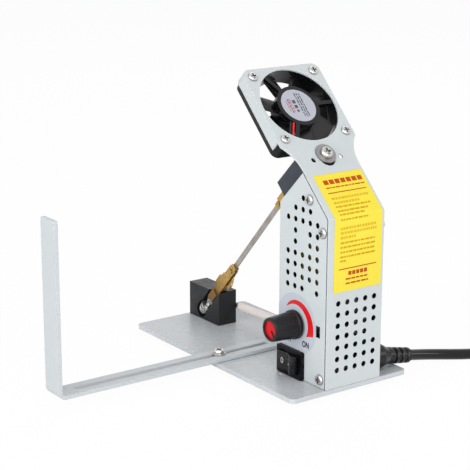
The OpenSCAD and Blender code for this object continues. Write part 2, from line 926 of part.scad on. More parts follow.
// hexagon nut on the bush
module pot_nut() {
    color("silver")
        front_frame(knob_ax, knob_az)
            translate([0, 0, dial_t])
                difference() {
                    cylinder(h = nut_t, d = nut_flat / cos(30), $fn = 6);
                    translate([0, 0, -1])
                        cylinder(h = nut_t + 2, d = bush_d + small_gap);
                }
}

// turning shaft of the potentiometer, flat on one side at its end
module pot_shaft() {
    reach = knob_gap + knob_len - cap_t - 1;
    color("silver")
        front_frame(knob_ax, knob_az)
            difference() {
                translate([0, 0, -sheet_t - pot_t + 2 + small_gap])
                    cylinder(h = reach + sheet_t + pot_t - 2 - small_gap, d = shaft_d);
                translate([-shaft_d / 2, shaft_d / 4, bush_len + 1])
                    cube([shaft_d, shaft_d, reach]);
            }
}

// tapered knob with a foot ring, hollow over the nut
module control_knob() {
    r = knob_d / 2;
    f = knob_front_d / 2;
    taper = atan((r - 0.6 - f) / (knob_len - knob_foot));
    color("black")
        front_frame(knob_ax, knob_az)
            translate([0, 0, knob_gap])
                difference() {
                    rotate_extrude()
                        polygon([[0, 0], [r - 0.3, 0], [r, 0.3], [r, knob_foot - 0.3], [r - 0.3, knob_foot],
                                 [r - 0.6, knob_foot], [f, knob_len - 0.5], [f - 0.5, knob_len], [0, knob_len]]);
                    translate([0, 0, -1])
                        cylinder(h = bush_len + 1.4 - knob_gap, d = nut_flat / cos(30) + 0.6);
                    difference() {
                        cylinder(h = knob_len - cap_t - 1, d = shaft_d);
                        translate([-shaft_d / 2, shaft_d / 4, bush_len + 1 - knob_gap])
                            cube([shaft_d, shaft_d, knob_len]);
                    }
                    translate([0, 0, knob_len - cap_t])
                        cylinder(h = 2 * cap_t, d = cap_d);
                    for (a = [0 : 20 : 340]) {
                        rotate(a)
                            translate([r - 0.35, 0, knob_foot + 0.6])
                                rotate([0, -taper, 0])
                                    cylinder(h = knob_len, d = 1);
                    }
                }
}

// coloured cap with a pointer notch
module knob_cap() {
    color("red")
        front_frame(knob_ax, knob_az)
            translate([0, 0, knob_gap + knob_len - cap_t])
                difference() {
                    cylinder(h = cap_t - cap_recess, d = cap_d);
                    rotate(-50)
                        translate([0.6, -0.6, -1])
                            cube([cap_d, 1.2, cap_t + 2]);
                }
}

// frame of the fan: origin in the middle of its mounting face
module fan_place() {
    roof_frame()
        translate([fan_y, fan_s, -sheet_t])
            children();
}

// square fan frame with bore, three struts, hub plate, bearing tube and a lead notch
module fan_frame() {
    color("black")
        fan_place()
            difference() {
                union() {
                    translate([0, 0, -fan_t])
                        linear_extrude(fan_t)
                            difference() {
                                round_rect(fan_w, fan_w, fan_corner);
                                circle(d = fan_bore);
                            }
                    translate([0, 0, -hub_t])
                        cylinder(h = hub_t, d = hub_d);
                    translate([0, 0, -fan_t + 2.4])
                        cylinder(h = fan_t - 2.6, d = tube_d);
                    for (a = [0, 120, 240]) {
                        rotate(a)
                            translate([hub_d / 2 - 1, -strut_w / 2, -hub_t])
                                cube([(fan_bore - hub_d) / 2 + 1.4, strut_w, hub_t]);
                    }
                }
                translate([0, 0, -fan_t])
                    cylinder(h = fan_t - 1, d = axle_d + 2 * fit_gap);
                for (x = [-1, 1]) {
                    for (y = [-1, 1]) {
                        translate([x * fan_pitch / 2, y * fan_pitch / 2, -fan_t - 1])
                            cylinder(h = fan_t + 2, d = fan_screw_d + screw_clear);
                    }
                }
                rotate(lead_turn)
                    translate([fan_bore / 2 - 2, lead_side[1] - 1, -1.7])
                        cube([fan_w / 4, 4, 3]);
            }
}

// four wound poles around the bearing tube
module fan_stator() {
    color("peru")
        fan_place()
            translate([0, 0, -hub_t - 4.4])
                difference() {
                    union() {
                        cylinder(h = 3.6, d = 10);
                        for (a = [45, 135, 225, 315]) {
                            rotate(a)
                                translate([0, -2, 0])
                                    cube([stator_d / 2, 4, 3.6]);
                        }
                    }
                    translate([0, 0, -1])
                        cylinder(h = 6, d = tube_d);
                }
}

// turning hub cup with vanes and axle
module fan_rotor() {
    low = -fan_t + 0.6;
    tip = fan_bore / 2 - rotor_gap;
    color("black")
        fan_place() {
            translate([0, 0, low])
                difference() {
                    cylinder(h = cup_h, d = hub_d - 1);
                    translate([0, 0, 1.4])
                        cylinder(h = cup_h, d = hub_d - 4.4);
                }
            translate([0, 0, low + 0.4])
                cylinder(h = fan_t - 2.4, d = axle_d);
            for (i = [0 : vane_count - 1]) {
                rotate(i * 360 / vane_count)
                    intersection() {
                        translate([hub_d / 2 - 1, 0, low + cup_h / 2])
                            rotate([vane_tilt, 0, 0])
                                cube([2 * (tip - hub_d / 2) + 6, vane_w, vane_t], center = true);
                        translate([0, 0, low + 0.2])
                            difference() {
                                cylinder(h = cup_h - 0.3, r = tip);
                                translate([0, 0, -1])
                                    cylinder(h = cup_h + 2, d = hub_d - 1.6);
                            }
                        translate([0, -tip, low])
                            cube([tip, 2 * tip, cup_h]);
                    }
            }
        }
}

// bare disc sticker on the hub plate
module fan_sticker() {
    color("silver")
        fan_place()
            cylinder(h = 0.15, d = 20.5);
}

// four screws through bracket and fan
module fan_screws() {
    color("silver")
        for (x = [-1, 1]) {
            for (y = [-1, 1]) {
                roof_frame()
                    translate([fan_y + x * fan_pitch / 2, fan_s + y * fan_pitch / 2, 0])
                        pan_screw(fan_screw_d, 1.75 * fan_screw_d, 0.45 * fan_screw_d, sheet_t + fan_t - 2);
            }
        }
}

// lead of the fan, side by side with its twin, from the hub under the neck into the tower
module fan_lead(side) {
    z = -0.8;
    e = [cos(lead_turn), sin(lead_turn), 0];
    f = [-sin(lead_turn), cos(lead_turn), 0];
    run = inner_y0 - fan_y + 2.4 + (side - lead_side[1]);
    r0 = hub_d / 2 + small_gap;
    r1 = fan_bore / 2 + 5.4 + (lead_side[0] - side) / 2;
    s0 = fan_w / 2 + 3.5;
    s1 = fan_s - apex_s + 7.8;
    radial = [for (t = [0 : 0.2 : 1]) (r0 + t * (r1 - r0)) * e + side * f + [0, 0, z]];
    turn = [(radial[5][0] + run) / 2, -s0 + 1.3, -1.3];
    down = [for (t = [0, 0.12, 0.27, 0.44, 0.61, 0.8, 1]) [run, -s0 - t * (s1 - s0), -1.6]];
    fan_place()
        tube(concat(radial, [turn], down), lead_d, 8);
}

// red fan lead
module fan_lead_red() {
    color("red")
        fan_lead(lead_side[0]);
}

// black fan lead
module fan_lead_black() {
    color("black")
        fan_lead(lead_side[1]);
}

// places of the screws in the transformer strap
strap_screw_z = [core_z0 - strap_ear / 2 - strap_t, core_z0 + core_h + strap_ear / 2 + strap_t];

// laminated core with two windows
module transformer_core() {
    window = (core_w - core_leg - 2 * core_limb) / 2;
    color("gray")
        translate([core_x0, core_y0 + core_stack, core_z0])
            rotate([90, 0, 0])
                linear_extrude(core_stack)
                    difference() {
                        square([core_w, core_h]);
                        for (x = [core_limb, core_w - core_limb - window]) {
                            translate([x, core_limb + 1])
                                square([window, core_h - 2 * core_limb - 2]);
                        }
                    }
}

// taped winding around the middle leg
module transformer_coil() {
    window = (core_w - core_leg - 2 * core_limb) / 2;
    w = core_leg + 2 * window - 2 * coil_clear;
    high = core_h - 2 * core_limb - 2 - 2 * coil_clear;
    color("khaki")
        translate([core_x0 + core_w / 2, core_y0 + core_stack / 2, core_z0 + core_limb + 1 + coil_clear])
            linear_extrude(high)
                difference() {
                    round_rect(w, core_stack + 2 * coil_over, 3);
                    square([core_leg + small_gap, core_stack + small_gap], center = true);
                }
}

// strap that holds the core to the wall
module transformer_strap() {
    y0 = core_y0 + core_stack / 2 - strap_w / 2;
    color("silver")
        difference() {
            union() {
                translate([core_x0, y0, core_z0 - strap_t])
                    cube([core_w + strap_t, strap_w, strap_t]);
                translate([core_x0, y0, core_z0 + core_h])
                    cube([core_w + strap_t, strap_w, strap_t]);
                translate([core_x0 + core_w, y0, core_z0 - strap_t])
                    cube([strap_t, strap_w, core_h + 2 * strap_t]);
                translate([core_x0, y0, core_z0 - strap_t - strap_ear])
                    cube([strap_t, strap_w, strap_ear + strap_t]);
                translate([core_x0, y0, core_z0 + core_h])
                    cube([strap_t, strap_w, strap_ear + strap_t]);
            }
            for (z = strap_screw_z) {
                translate([core_x0 - 1, y0 + strap_w / 2, z])
                    rotate([0, 90, 0])
                        cylinder(h = 4, d = screw_d + small_gap);
            }
        }
}

// two screws of the strap, from outside
module strap_screws() {
    color("silver")
        for (z = strap_screw_z) {
            translate([house_x0, core_y0 + core_stack / 2, z])
                rotate([0, -90, 0])
                    pan_screw(screw_d, head_d, head_h, 5);
        }
}

// circuit board on spacers in front of the back face
module control_board() {
    color("darkgreen")
        wall_y(board_y0, board_t)
            difference() {
                translate([board_x0, board_z0])
                    square([board_w, board_h]);
                for (p = board_holes) {
                    translate(p)
                        circle(d = screw_d + screw_clear);
                }
            }
}

// folded cooling plate on the board
module board_heatsink() {
    color("silver")
        translate([house_x1 - 14, board_y0 - 9, board_z0 + 9]) {
            cube([10, 9, 1.2]);
            translate([0, 0, 1.2])
                cube([1.2, 9, 12]);
            translate([8.8, 0, 1.2])
                cube([1.2, 9, 12]);
        }
}

// capacitor and choke on the board
module board_parts() {
    color("steelblue") {
        translate([board_x0 + 4, board_y0 - 7, board_z0 + 2])
            cube([11, 7, 9]);
        translate([board_x0 + 9, board_y0, board_z0 + 17])
            rotate([90, 0, 0])
                cylinder(h = 6, d = 9);
    }
}

// spacers behind the board
module board_spacers() {
    color("beige")
        for (p = board_holes) {
            translate([p[0], inner_y1, p[1]])
                rotate([90, 0, 0])
                    washer(spacer_d, screw_d + screw_clear, spacer_len);
        }
}

// screws of the board, from outside
module board_screws() {
    color("silver")
        for (p = board_holes) {
            back_frame(p[0], p[1])
                pan_screw(screw_d, head_d, head_h, sheet_t + spacer_len + board_t + 1);
        }
}

// frame of the tension screw: origin on the cover, z outwards
module tension_place() {
    roof_frame()
        translate([mid_y, screw_s, 0])
            children();
}

// screw that pulls the upper block
module tension_screw() {
    color("silver")
        tension_place()
            translate([0, 0, washer_t + small_gap])
                pan_screw(tension_d, 1.7 * tension_d, 0.5 * tension_d, tension_len);
}

// washer under the tension screw
module tension_washer() {
    color("silver")
        tension_place()
            washer(washer_d, tension_d + 2 * free_gap, washer_t);
}

// insulating block on the tension screw, slotted for the clip
module upper_block() {
    color("slategray")
        difference() {
            tension_place()
                translate([-block_wide / 2, -block_thin / 2, -sheet_t - upper_gap - block_len])
                    cube([block_wide, block_thin, block_len]);
            tension_place()
                translate([0, 0, -tension_len - 2])
                    cylinder(h = tension_len + 4, d = tension_d + 2 * fit_gap);
            strip_frame()
                translate([nose_up, -clip_t / 2, -clip_w / 2])
                    cube([upper_tail - nose_up + 0.2, clip_t, clip_w]);
            strip_frame()
                translate([pin_x, 0, 0])
                    rotate([-90, 0, 0])
                        cylinder(h = block_wide, d = pin_d);
            strip_frame()
                translate([pin_x, -4, 0])
                    rotate([-90, 0, 0])
                        cylinder(h = 8, d = pin_d);
        }
}

// pin across block and clip
module holder_pin() {
    color("silver")
        strip_frame()
            translate([pin_x, -4, 0])
                rotate([-90, 0, 0])
                    cylinder(h = block_wide / 2 + 3.6, d = pin_d);
}

// brass clip with a slit for the strip's end, pinned in the upper block
module upper_clip() {
    color("goldenrod")
        strip_frame()
            difference() {
                union() {
                    translate([nose_up + 4, -clip_t / 2, -clip_w / 2])
                        cube([upper_tail - nose_up - 4, clip_t, clip_w]);
                    translate([nose_up, -clip_t / 2, -clip_w / 2 + 0.4])
                        cube([6, clip_t, clip_w - 1.4]);
                }
                translate([nose_up - 1, -slit_t / 2, -clip_w])
                    cube([slit_up - nose_up + 1, slit_t, 2 * clip_w]);
                translate([rivet_up, 0, 0])
                    rotate([90, 0, 0])
                        cylinder(h = 2 * clip_t, d = rivet_d, center = true);
                translate([pin_x, 0, 0])
                    rotate([90, 0, 0])
                        cylinder(h = 2 * clip_t, d = pin_d, center = true);
            }
}

// rivet with two flat heads across a clip
module rivet(x) {
    strip_frame()
        translate([x, 0, 0])
            rotate([90, 0, 0]) {
                cylinder(h = clip_t, d = rivet_d, center = true);
                for (side = [-1, 1]) {
                    translate([0, 0, side * (clip_t / 2 + 0.25)])
                        cylinder(h = 0.5, d = 2.6, center = true);
                }
            }
}

// rivet of the upper clip
module upper_rivet() {
    color("goldenrod")
        rivet(rivet_up);
}

// thin steel strip with an eye at each end, the lower eye long
module heated_strip() {
    color("gray")
        strip_frame()
            rotate([90, 0, 0])
                linear_extrude(strip_t, center = true)
                    difference() {
                        union() {
                            translate([strip_low, -strip_w / 2])
                                square([strip_up - strip_low, strip_w]);
                            translate([strip_low, -eye_w / 2])
                                square([eye_len, eye_w]);
                        }
                        translate([rivet_up, 0])
                            circle(d = rivet_d);
                        for (side = [-1, 1]) {
                            translate([rivet_low + side * rivet_slack, 0])
                                circle(d = rivet_d + 2 * free_gap);
                        }
                        translate([rivet_low - rivet_slack, -rivet_d / 2 - free_gap])
                            square([2 * rivet_slack, rivet_d + 2 * free_gap]);
                    }
}

// brass clip in the lower block: nose with slit, side lugs, bar and a thick foot for the bolt
module lower_clip() {
    color("goldenrod")
        strip_frame()
            difference() {
                union() {
                    translate([clip_foot[0], -clip_t / 2, -clip_w / 2])
                        cube([nose_low - 2 - clip_foot[0], clip_t, clip_w]);
                    translate([nose_low - 4, -clip_t / 2, -clip_w / 2 + 0.6])
                        cube([4, clip_t, clip_w - 1.2]);
                    translate([clip_foot[0], -2.6, -clip_w / 2])
                        cube([clip_foot[1] - clip_foot[0], 5.2, clip_w]);
                    translate([0, -clip_t / 2 + 1, 0])
                        rotate([90, 0, 0])
                            linear_extrude(1) {
                                translate([20.4, 1.9])
                                    round_rect(9.5, 6, 2.4);
                                translate([26.2, 1.6])
                                    round_rect(4.4, 3.8, 1);
                            }
                    translate([28, clip_t / 2 - 1, -clip_w / 2 + 1])
                        rotate([-32, 0, 0])
                            rotate([90, 0, 0])
                                translate([0, 0, -1])
                                    linear_extrude(1)
                                        polygon([[-5, 0.6], [5.4, 0.6], [5.4, -1.6], [2, -6.4], [-2, -6.4],
                                                 [-5, -2.8]]);
                }
                translate([slit_low, -slit_t / 2, -clip_w])
                    cube([nose_low, slit_t, 2 * clip_w]);
                translate([rivet_low, 0, 0])
                    rotate([90, 0, 0])
                        cylinder(h = 2 * clip_t, d = rivet_d, center = true);
                translate([clip_foot[0] - 1, 0, 0])
                    rotate([0, 90, 0])
                        cylinder(h = pocket_from - clip_foot[0] + bolt_len - 2, d = bolt_d - 0.4);
            }
}

// rivet of the lower clip
module lower_rivet() {
    color("goldenrod")
        rivet(rivet_low);
}

// bolt that pulls the clip's foot against the shoulder of the groove
module clip_bolt() {
    color("silver")
        strip_frame()
            translate([pocket_from - 3.2, 0, 0])
                rotate([0, -90, 0])
                    pan_screw(bolt_d - 0.4, bolt_head_d, bolt_head_h, bolt_len);
}

// flat, split and flat washer under the bolt, nut against the clip
module clip_washers() {
    color("silver")
        strip_frame()
            translate([pocket_from, 0, 0])
                rotate([0, -90, 0]) {
                    washer(8.4, bolt_d, 1);
                    translate([0, 0, 1])
                        washer(7, bolt_d, 1.2);
                    translate([0, 0, 2.2])
                        washer(8.4, bolt_d, 1);
                    translate([0, 0, pocket_from - clip_foot[0] + small_gap])
                        difference() {
                            rotate(30)
                                cylinder(h = nut_high, d = nut_across / cos(30), $fn = 6);
                            translate([0, 0, -1])
                                cylinder(h = nut_high + 2, d = bolt_d);
                        }
                }
}

// insulating block on the plate, with a sloping groove and a wider pocket at its low end
module lower_block() {
    color("dimgray")
        difference() {
            translate([low_block_x0, low_block_y0, top_z])
                cube([block_len, block_thin, block_wide]);
            strip_frame()
                translate([pocket_end, -block_thin, -groove_w / 2])
                    cube([block_len * 2, block_thin + groove_deep / 2, groove_w]);
            strip_frame()
                translate([pocket_end, -block_thin, -pocket_w / 2])
                    cube([pocket_from - pocket_end, block_thin + pocket_w / 2, pocket_w]);
            strip_frame()
                translate([pocket_end, pocket_w / 2, 0])
                    rotate([90, 0, 0])
                        cylinder(h = block_thin, d = pocket_w);
            for (p = [base_screw_at[4], base_screw_at[5]]) {
                translate([p[0], p[1], top_z - 1])
                    cylinder(h = base_grip / 2 + 2, d = screw_d + small_gap);
            }
            sleeve_frame()
                translate([0, 0, -core_back])
                    rotate([90, 0, 0])
                        cylinder(h = sleeve_y - low_block_y0 - block_thin + core_deep, d = core_d);
        }
}

// frame of the sleeved lead: z runs towards the tower, rising a little
module sleeve_frame() {
    translate([low_block_x1, sleeve_y, sleeve_z])
        rotate([0, 90 - sleeve_rise, 0])
            children();
}

// glass-fibre sleeved lead from the back of the lower block into the tower
module sleeved_lead() {
    run = house_x0 + sleeve_in - low_block_x1 - sleeve_from;
    color("antiquewhite")
        sleeve_frame() {
            translate([0, 0, sleeve_from])
                cylinder(h = run, d = sleeve_d);
            translate([0, 0, -core_back])
                cylinder(h = core_back + sleeve_from + 1, d = core_d);
            translate([0, 0, -core_back])
                sphere(d = core_d);
            translate([0, 0, -core_back])
                rotate([90, 0, 0])
                    cylinder(h = sleeve_y - low_block_y0 - block_thin + core_deep, d = core_d);
        }
}

// grommet where the sleeved lead enters the tower
module lead_grommet() {
    color("black")
        difference() {
            translate([house_x0, sleeve_y, grommet_z])
                rotate([0, 90, 0]) {
                    translate([0, 0, -grommet_t])
                        cylinder(h = grommet_t, d = grommet_d);
                    cylinder(h = sheet_t, d = grommet_d - 2);
                    translate([0, 0, sheet_t])
                        cylinder(h = grommet_t, d = grommet_d);
                }
            sleeve_frame()
                translate([0, 0, sleeve_from])
                    cylinder(h = house_x0 - low_block_x1 + 12, d = sleeve_d);
        }
}

// slotted bar with an upright that sets the cut length
module guide_bar() {
    r = guide_bend + guide_t;
    color("gainsboro") {
        translate([bar_x, 0, bar_z0])
            linear_extrude(guide_t)
                difference() {
                    union() {
                        translate([-guide_w / 2, bar_y0 + r])
                            square([guide_w, slot_y1 + bar_end - bar_corner - bar_y0 - r]);
                        translate([-guide_w / 2 + bar_corner, bar_y0 + r])
                            square([guide_w - 2 * bar_corner, slot_y1 + bar_end - bar_y0 - r]);
                        for (side = [-1, 1]) {
                            translate([side * (guide_w / 2 - bar_corner), slot_y1 + bar_end - bar_corner])
                                circle(bar_corner);
                        }
                    }
                    translate([-slot_w / 2, slot_y0 + slot_w / 2])
                        square([slot_w, slot_len - slot_w]);
                    for (y = [slot_y0 + slot_w / 2, slot_y1 - slot_w / 2]) {
                        translate([0, y])
                            circle(d = slot_w);
                    }
                }
        wall_x(bar_x - guide_w / 2, guide_w)
            translate([bar_y0 + r, bar_z0 + r])
                intersection() {
                    difference() {
                        circle(r);
                        circle(guide_bend);
                    }
                    translate([-r, -r])
                        square(r);
                }
        wall_y(bar_y0, guide_t)
            translate([bar_x, 0]) {
                translate([-guide_w / 2, bar_z0 + r])
                    square([guide_w, guide_h - r - bar_corner]);
                translate([-guide_w / 2 + bar_corner, bar_z0 + guide_h / 2])
                    square([guide_w - 2 * bar_corner, guide_h / 2]);
                for (side = [-1, 1]) {
                    translate([side * (guide_w / 2 - bar_corner), bar_z0 + guide_h - bar_corner])
                        circle(bar_corner);
                }
            }
    }
}

// screw that clamps the guide bar to the plate
module guide_screw() {
    color("silver")
        translate([bar_x, clamp_y, bar_z0 + guide_t + small_gap + washer_t])
            pan_screw(clamp_d, 2 * clamp_d, 0.55 * clamp_d, guide_t + washer_t + plate_t + 1);
}

// washer on the guide bar
module guide_washer() {
    color("silver")
        translate([bar_x, clamp_y, bar_z0 + guide_t + small_gap])
            washer(2.5 * clamp_d, clamp_d + screw_clear, washer_t);
}

// half outline of the strain relief: collar, cone, ribs and end
module relief_2d() {
    from = relief_collar + relief_cone;
    polygon([[0, 0], [relief_d / 2, 0], [relief_d / 2, relief_collar], [rib_d / 2, from], [0, from]]);
    translate([0, relief_collar])
        square([relief_tail_d / 2, relief_len - relief_collar]);
    for (i = [0 : rib_count - 1]) {
        r = rib_d / 2 - rib_taper * i;
        z0 = from + i * rib_pitch + (i > 0 ? rib_groove : 0);
        z1 = from + (i + 1) * rib_pitch;
        polygon([[0, z0], [r - rib_edge, z0], [r, z0 + rib_edge], [r, z1 - rib_edge], [r - rib_edge, z1], [0, z1]]);
    }
    translate([0, from])
        square([rib_d / 2 - rib_depth, relief_len - from - relief_end_len]);
}

// ribbed strain relief, drooping from its flange
module strain_relief() {
    color("black")
        back_frame(relief_x, relief_z) {
            cylinder(h = relief_flange, d = relief_d + 1.6);
            translate([0, 0, -sheet_t])
                cylinder(h = sheet_t, d = relief_neck_d);
            translate([0, 0, -sheet_t - 2])
                cylinder(h = 2, d = relief_neck_d + 2);
            translate([0, 0, relief_root])
                rotate([-relief_droop, 0, 0])
                    rotate_extrude()
                        relief_2d();
        }
}

// free stretch of the mains cord behind the object
module mains_cord() {
    color("black")
        tube(lead_points, cord_d, 8);
}

// rest of the cord, wound on the table
module cord_coil() {
    color("black")
        tube(coil_points, cord_d, 6);
}

// free stretch from the coil to the plug
module cord_tail() {
    color("black")
        tube(tail_points, cord_d, 8);
}

// strap around the coil's turns
module cord_tie() {
    inner = coil_in + coil_step * (coil_turns - 0.125 - floor(coil_turns - 0.125)) - cord_d / 2 - 0.4;
    outer = coil_out - coil_step * 0.125 + cord_d / 2 + 0.4;
    high = coil_z + coil_step + cord_d / 2 + free_gap;
    color("black")
        translate([coil_x, coil_y, 0])
            rotate(tie_turn)
                difference() {
                    translate([inner - tie_t, -tie_w / 2, 0])
                        cube([outer - inner + 2 * tie_t, tie_w, high + tie_t]);
                    translate([inner, -tie_w, tie_t])
                        cube([outer - inner, 2 * tie_w, high - tie_t]);
                }
}

// moulded two-pin plug lying on the coil
module plug_body() {
    color("black")
        translate([plug_at[0], plug_at[1], plug_at[2] - plug_t / 2])
            rotate(90)
                linear_extrude(plug_t)
                    polygon([[-plug_neck / 2, 0], [-plug_neck / 2, -7], [-plug_w / 2 + 2, -16],
                             [-plug_w / 2, -18], [-plug_w / 2, -plug_len + 2], [-plug_w / 2 + 2, -plug_len],
                             [plug_w / 2 - 2, -plug_len], [plug_w / 2, -plug_len + 2], [plug_w / 2, -18],
                             [plug_w / 2 - 2, -16], [plug_neck / 2, -7], [plug_neck / 2, 0]]);
}

// two round contact pins
module plug_pins() {
    color("silver")
        for (side = [-1, 1]) {
            translate([plug_at[0] + plug_len, plug_at[1] + side * pin_pitch / 2, plug_at[2]])
                rotate([0, 90, 0]) {
                    cylinder(h = plug_pin_len - 1, d = plug_pin_d);
                    translate([0, 0, plug_pin_len - 1])
                        cylinder(h = 1, d1 = plug_pin_d, d2 = plug_pin_d - 1.6);
                }
        }
}

base_plate();
rubber_feet();
base_screws();
tower_shell();
rear_cover();
cover_sticker();
cover_screws();
dial_plate();
switch_body();
switch_rocker();
switch_tabs();
pot_body();
pot_nut();
pot_shaft();
control_knob();
knob_cap();
fan_frame();
fan_stator();
fan_rotor();
fan_sticker();
fan_screws();
fan_lead_red();
fan_lead_black();
transformer_core();
transformer_coil();
transformer_strap();
strap_screws();
control_board();
board_heatsink();
board_parts();
board_spacers();
board_screws();
tension_screw();
tension_washer();
upper_block();
holder_pin();
upper_clip();
upper_rivet();
heated_strip();
lower_clip();
lower_rivet();
clip_bolt();
clip_washers();
lower_block();
sleeved_lead();
lead_grommet();
guide_bar();
guide_screw();
guide_washer();
strain_relief();
mains_cord();
cord_coil();
cord_tail();
cord_tie();
plug_body();
plug_pins();
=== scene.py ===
"""Bench hot knife for ribbon: looks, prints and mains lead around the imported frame."""
import bpy
import bmesh
import json
import math
import random
from mathutils import Matrix, Vector


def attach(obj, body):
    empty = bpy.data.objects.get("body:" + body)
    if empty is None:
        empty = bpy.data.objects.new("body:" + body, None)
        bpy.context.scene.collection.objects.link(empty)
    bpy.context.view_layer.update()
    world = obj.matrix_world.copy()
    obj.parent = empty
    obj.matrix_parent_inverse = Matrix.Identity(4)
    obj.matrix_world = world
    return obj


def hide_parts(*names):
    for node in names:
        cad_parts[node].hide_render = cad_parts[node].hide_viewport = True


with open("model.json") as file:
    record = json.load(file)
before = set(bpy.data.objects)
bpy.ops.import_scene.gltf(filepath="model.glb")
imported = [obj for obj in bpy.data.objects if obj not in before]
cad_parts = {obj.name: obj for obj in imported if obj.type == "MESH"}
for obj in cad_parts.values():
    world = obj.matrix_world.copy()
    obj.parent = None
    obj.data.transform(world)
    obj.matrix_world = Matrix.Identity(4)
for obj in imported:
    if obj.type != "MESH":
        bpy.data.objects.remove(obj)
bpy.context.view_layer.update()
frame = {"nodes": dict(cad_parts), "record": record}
scene = bpy.context.scene
node = frame["nodes"]
MM = 0.001

# places of the tower in metres: label face, knob face, bend of the cover, middle of the fan up the slope
HOUSE_X1 = 74.05 * MM
HOUSE_Y0 = 26.05 * MM
BEND_Z = 96.6 * MM
FAN_Y = 44.75 * MM
FAN_S = 69.5 * MM
SHEET_T = 1.0 * MM

# length guide in metres: middle, end and underside, half width, sheet, inside bend, top and inner end, and the
# two ends and the half width of its slot
GUIDE_X = 1.05 * MM
GUIDE_Y0 = -92.95 * MM
GUIDE_Z0 = 5.6 * MM
GUIDE_HALF = 7.0 * MM
GUIDE_T = 2.0 * MM
GUIDE_BEND = 2.0 * MM
GUIDE_TOP = 99.1 * MM
GUIDE_END = 52.15 * MM
GUIDE_SLOT = (-80.35 * MM, 43.65 * MM, 1.8 * MM)

# directions on the sloping cover
ROOT_HALF = math.sqrt(0.5)
ALONG = Vector((0, 1, 0))
UPHILL = Vector((-ROOT_HALF, 0, ROOT_HALF))
OUTWARD = Vector((ROOT_HALF, 0, ROOT_HALF))


def roof_point(y, up, out):
    """World point of the sloping cover: across, up the slope from the bend, out of the sheet."""
    return Vector((HOUSE_X1, 0, BEND_Z)) + ALONG * y + UPHILL * up + OUTWARD * out


# camera at the photograph's viewing angle
CAMERA_AT = Vector((609.96, -416.93, 274.54)) * MM
CAMERA_RIGHT = Vector((0.5829352, 0.81251318, 0.00297908))
CAMERA_DOWN = Vector((0.21218953, -0.14869347, -0.96584981))
CAMERA_FORWARD = Vector((-0.78432274, 0.56365998, -0.25908545))
CAMERA_LENS = 110.14


def place_camera():
    data = bpy.data.cameras.new("photo_camera")
    data.lens = CAMERA_LENS
    data.sensor_width = 36
    data.clip_start = 0.01
    data.clip_end = 20
    camera = bpy.data.objects.new("photo_camera", data)
    axes = Matrix((CAMERA_RIGHT, -CAMERA_DOWN, -CAMERA_FORWARD)).transposed()
    camera.matrix_world = Matrix.Translation(CAMERA_AT) @ axes.to_4x4()
    scene.collection.objects.link(camera)
    scene.camera = camera


place_camera()


# mains lead: drop behind the strain relief, coil behind the object, tail to the plug on the coil
LEAD_D = 6.0
RELIEF_END = Vector((64.05, 92.35, 8.53))
TABLE_Z = LEAD_D / 2 + 0.05
COIL_AT = Vector((35.55, 227.05, 4.1))
COIL_STEP = 6.6
COIL_TURNS = 2.375
COIL_OUT = 41.25
PLUG_AT = Vector((31.55, 219.3, 20.3))
LEAD_ROUTE = [(0, 0, 1), (0, 4, 0.867), (0, 8, 0.737), (0.5, 14, 0.556), (1.6, 20, 0.395), (3.5, 27, 0.235),
              (6, 34, 0.115), (8.6, 41, 0.035), (10.6, 48, 0), (11.9, 56, 0), (12.5, 66, 0), (12.75, 78, 0),
              (12.75, 92, 0.02), (12.75, 104, 0.07), (12.75, 114, 0.13)]
TAIL_ROUTE = [(-16.7, 40.4, 0), (-22.7, 38, 0.1), (-27.7, 34.1, 0.4), (-31.6, 29, 1.4), (-34.1, 23.1, 3.4),
              (-34.9, 16.75, 5.5), (-34.1, 10.4, 6.6), (-31.6, 4.5, 7), (-27.7, -0.6, 7.5),
              (-22.7, -4.5, 8.2), (-16.7, -6.9, 8.9), (-10.4, -7.75, 9.4)]
COIL_RINGS = 48


def ease(f):
    f = min(max(f, 0), 1)
    return f * f * (3 - 2 * f)


def wound(turns):
    """Point on the coil after a number of turns."""
    turn_back = COIL_TURNS + 0.25
    inward = turns if turns <= turn_back else 2 * turn_back - turns
    r = COIL_OUT - COIL_STEP * inward
    a = math.radians(360 * turns)
    rise = COIL_STEP * ease((turns - COIL_TURNS) * 2)
    return COIL_AT + Vector((r * math.cos(a), r * math.sin(a), rise))


def lead_line():
    """Centre line of the whole mains lead, in millimetres."""
    start = COIL_AT + Vector((COIL_OUT, -1.4 * LEAD_D, 0))
    end = COIL_AT + Vector((-1.4 * LEAD_D, COIL_OUT, COIL_STEP))
    drop = RELIEF_END.z - TABLE_Z
    points = [RELIEF_END + Vector((x, y, (part - 1) * drop)) for x, y, part in LEAD_ROUTE]
    points += [start - Vector((0, 2 * LEAD_D / 3, 0)), start, start + Vector((0, 0.7 * LEAD_D, 0))]
    total = 2 * COIL_TURNS + 0.5
    count = math.ceil(total * COIL_RINGS)
    points += [wound(i * total / count) for i in range(count + 1)]
    points += [end + Vector((0.7 * LEAD_D, 0, 0)), end, end - Vector((2, 0, 0))]
    points += [Vector((COIL_AT.x + x, COIL_AT.y + y, end.z + rise)) for x, y, rise in TAIL_ROUTE]
    points.append(PLUG_AT)
    return points


def curve_piece(name, points, diameter, sides=6):
    """Round curve of one spline through points in metres. The points carry the radius."""
    data = bpy.data.curves.new(name, "CURVE")
    data.dimensions = "3D"
    data.bevel_depth = 1.0
    data.bevel_resolution = sides
    data.use_fill_caps = True
    spline = data.splines.new("POLY")
    spline.points.add(len(points) - 1)
    for point, place in zip(spline.points, points):
        point.co = (*place, 1)
        point.radius = diameter / 2
    spline.use_smooth = True
    piece = bpy.data.objects.new(name, data)
    scene.collection.objects.link(piece)
    return piece


lead_points = [p * MM for p in lead_line()]
mains_lead = curve_piece("mains_lead", lead_points, LEAD_D * MM)
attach(mains_lead, "base")
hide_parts("mains_cord", "cord_coil", "cord_tail")


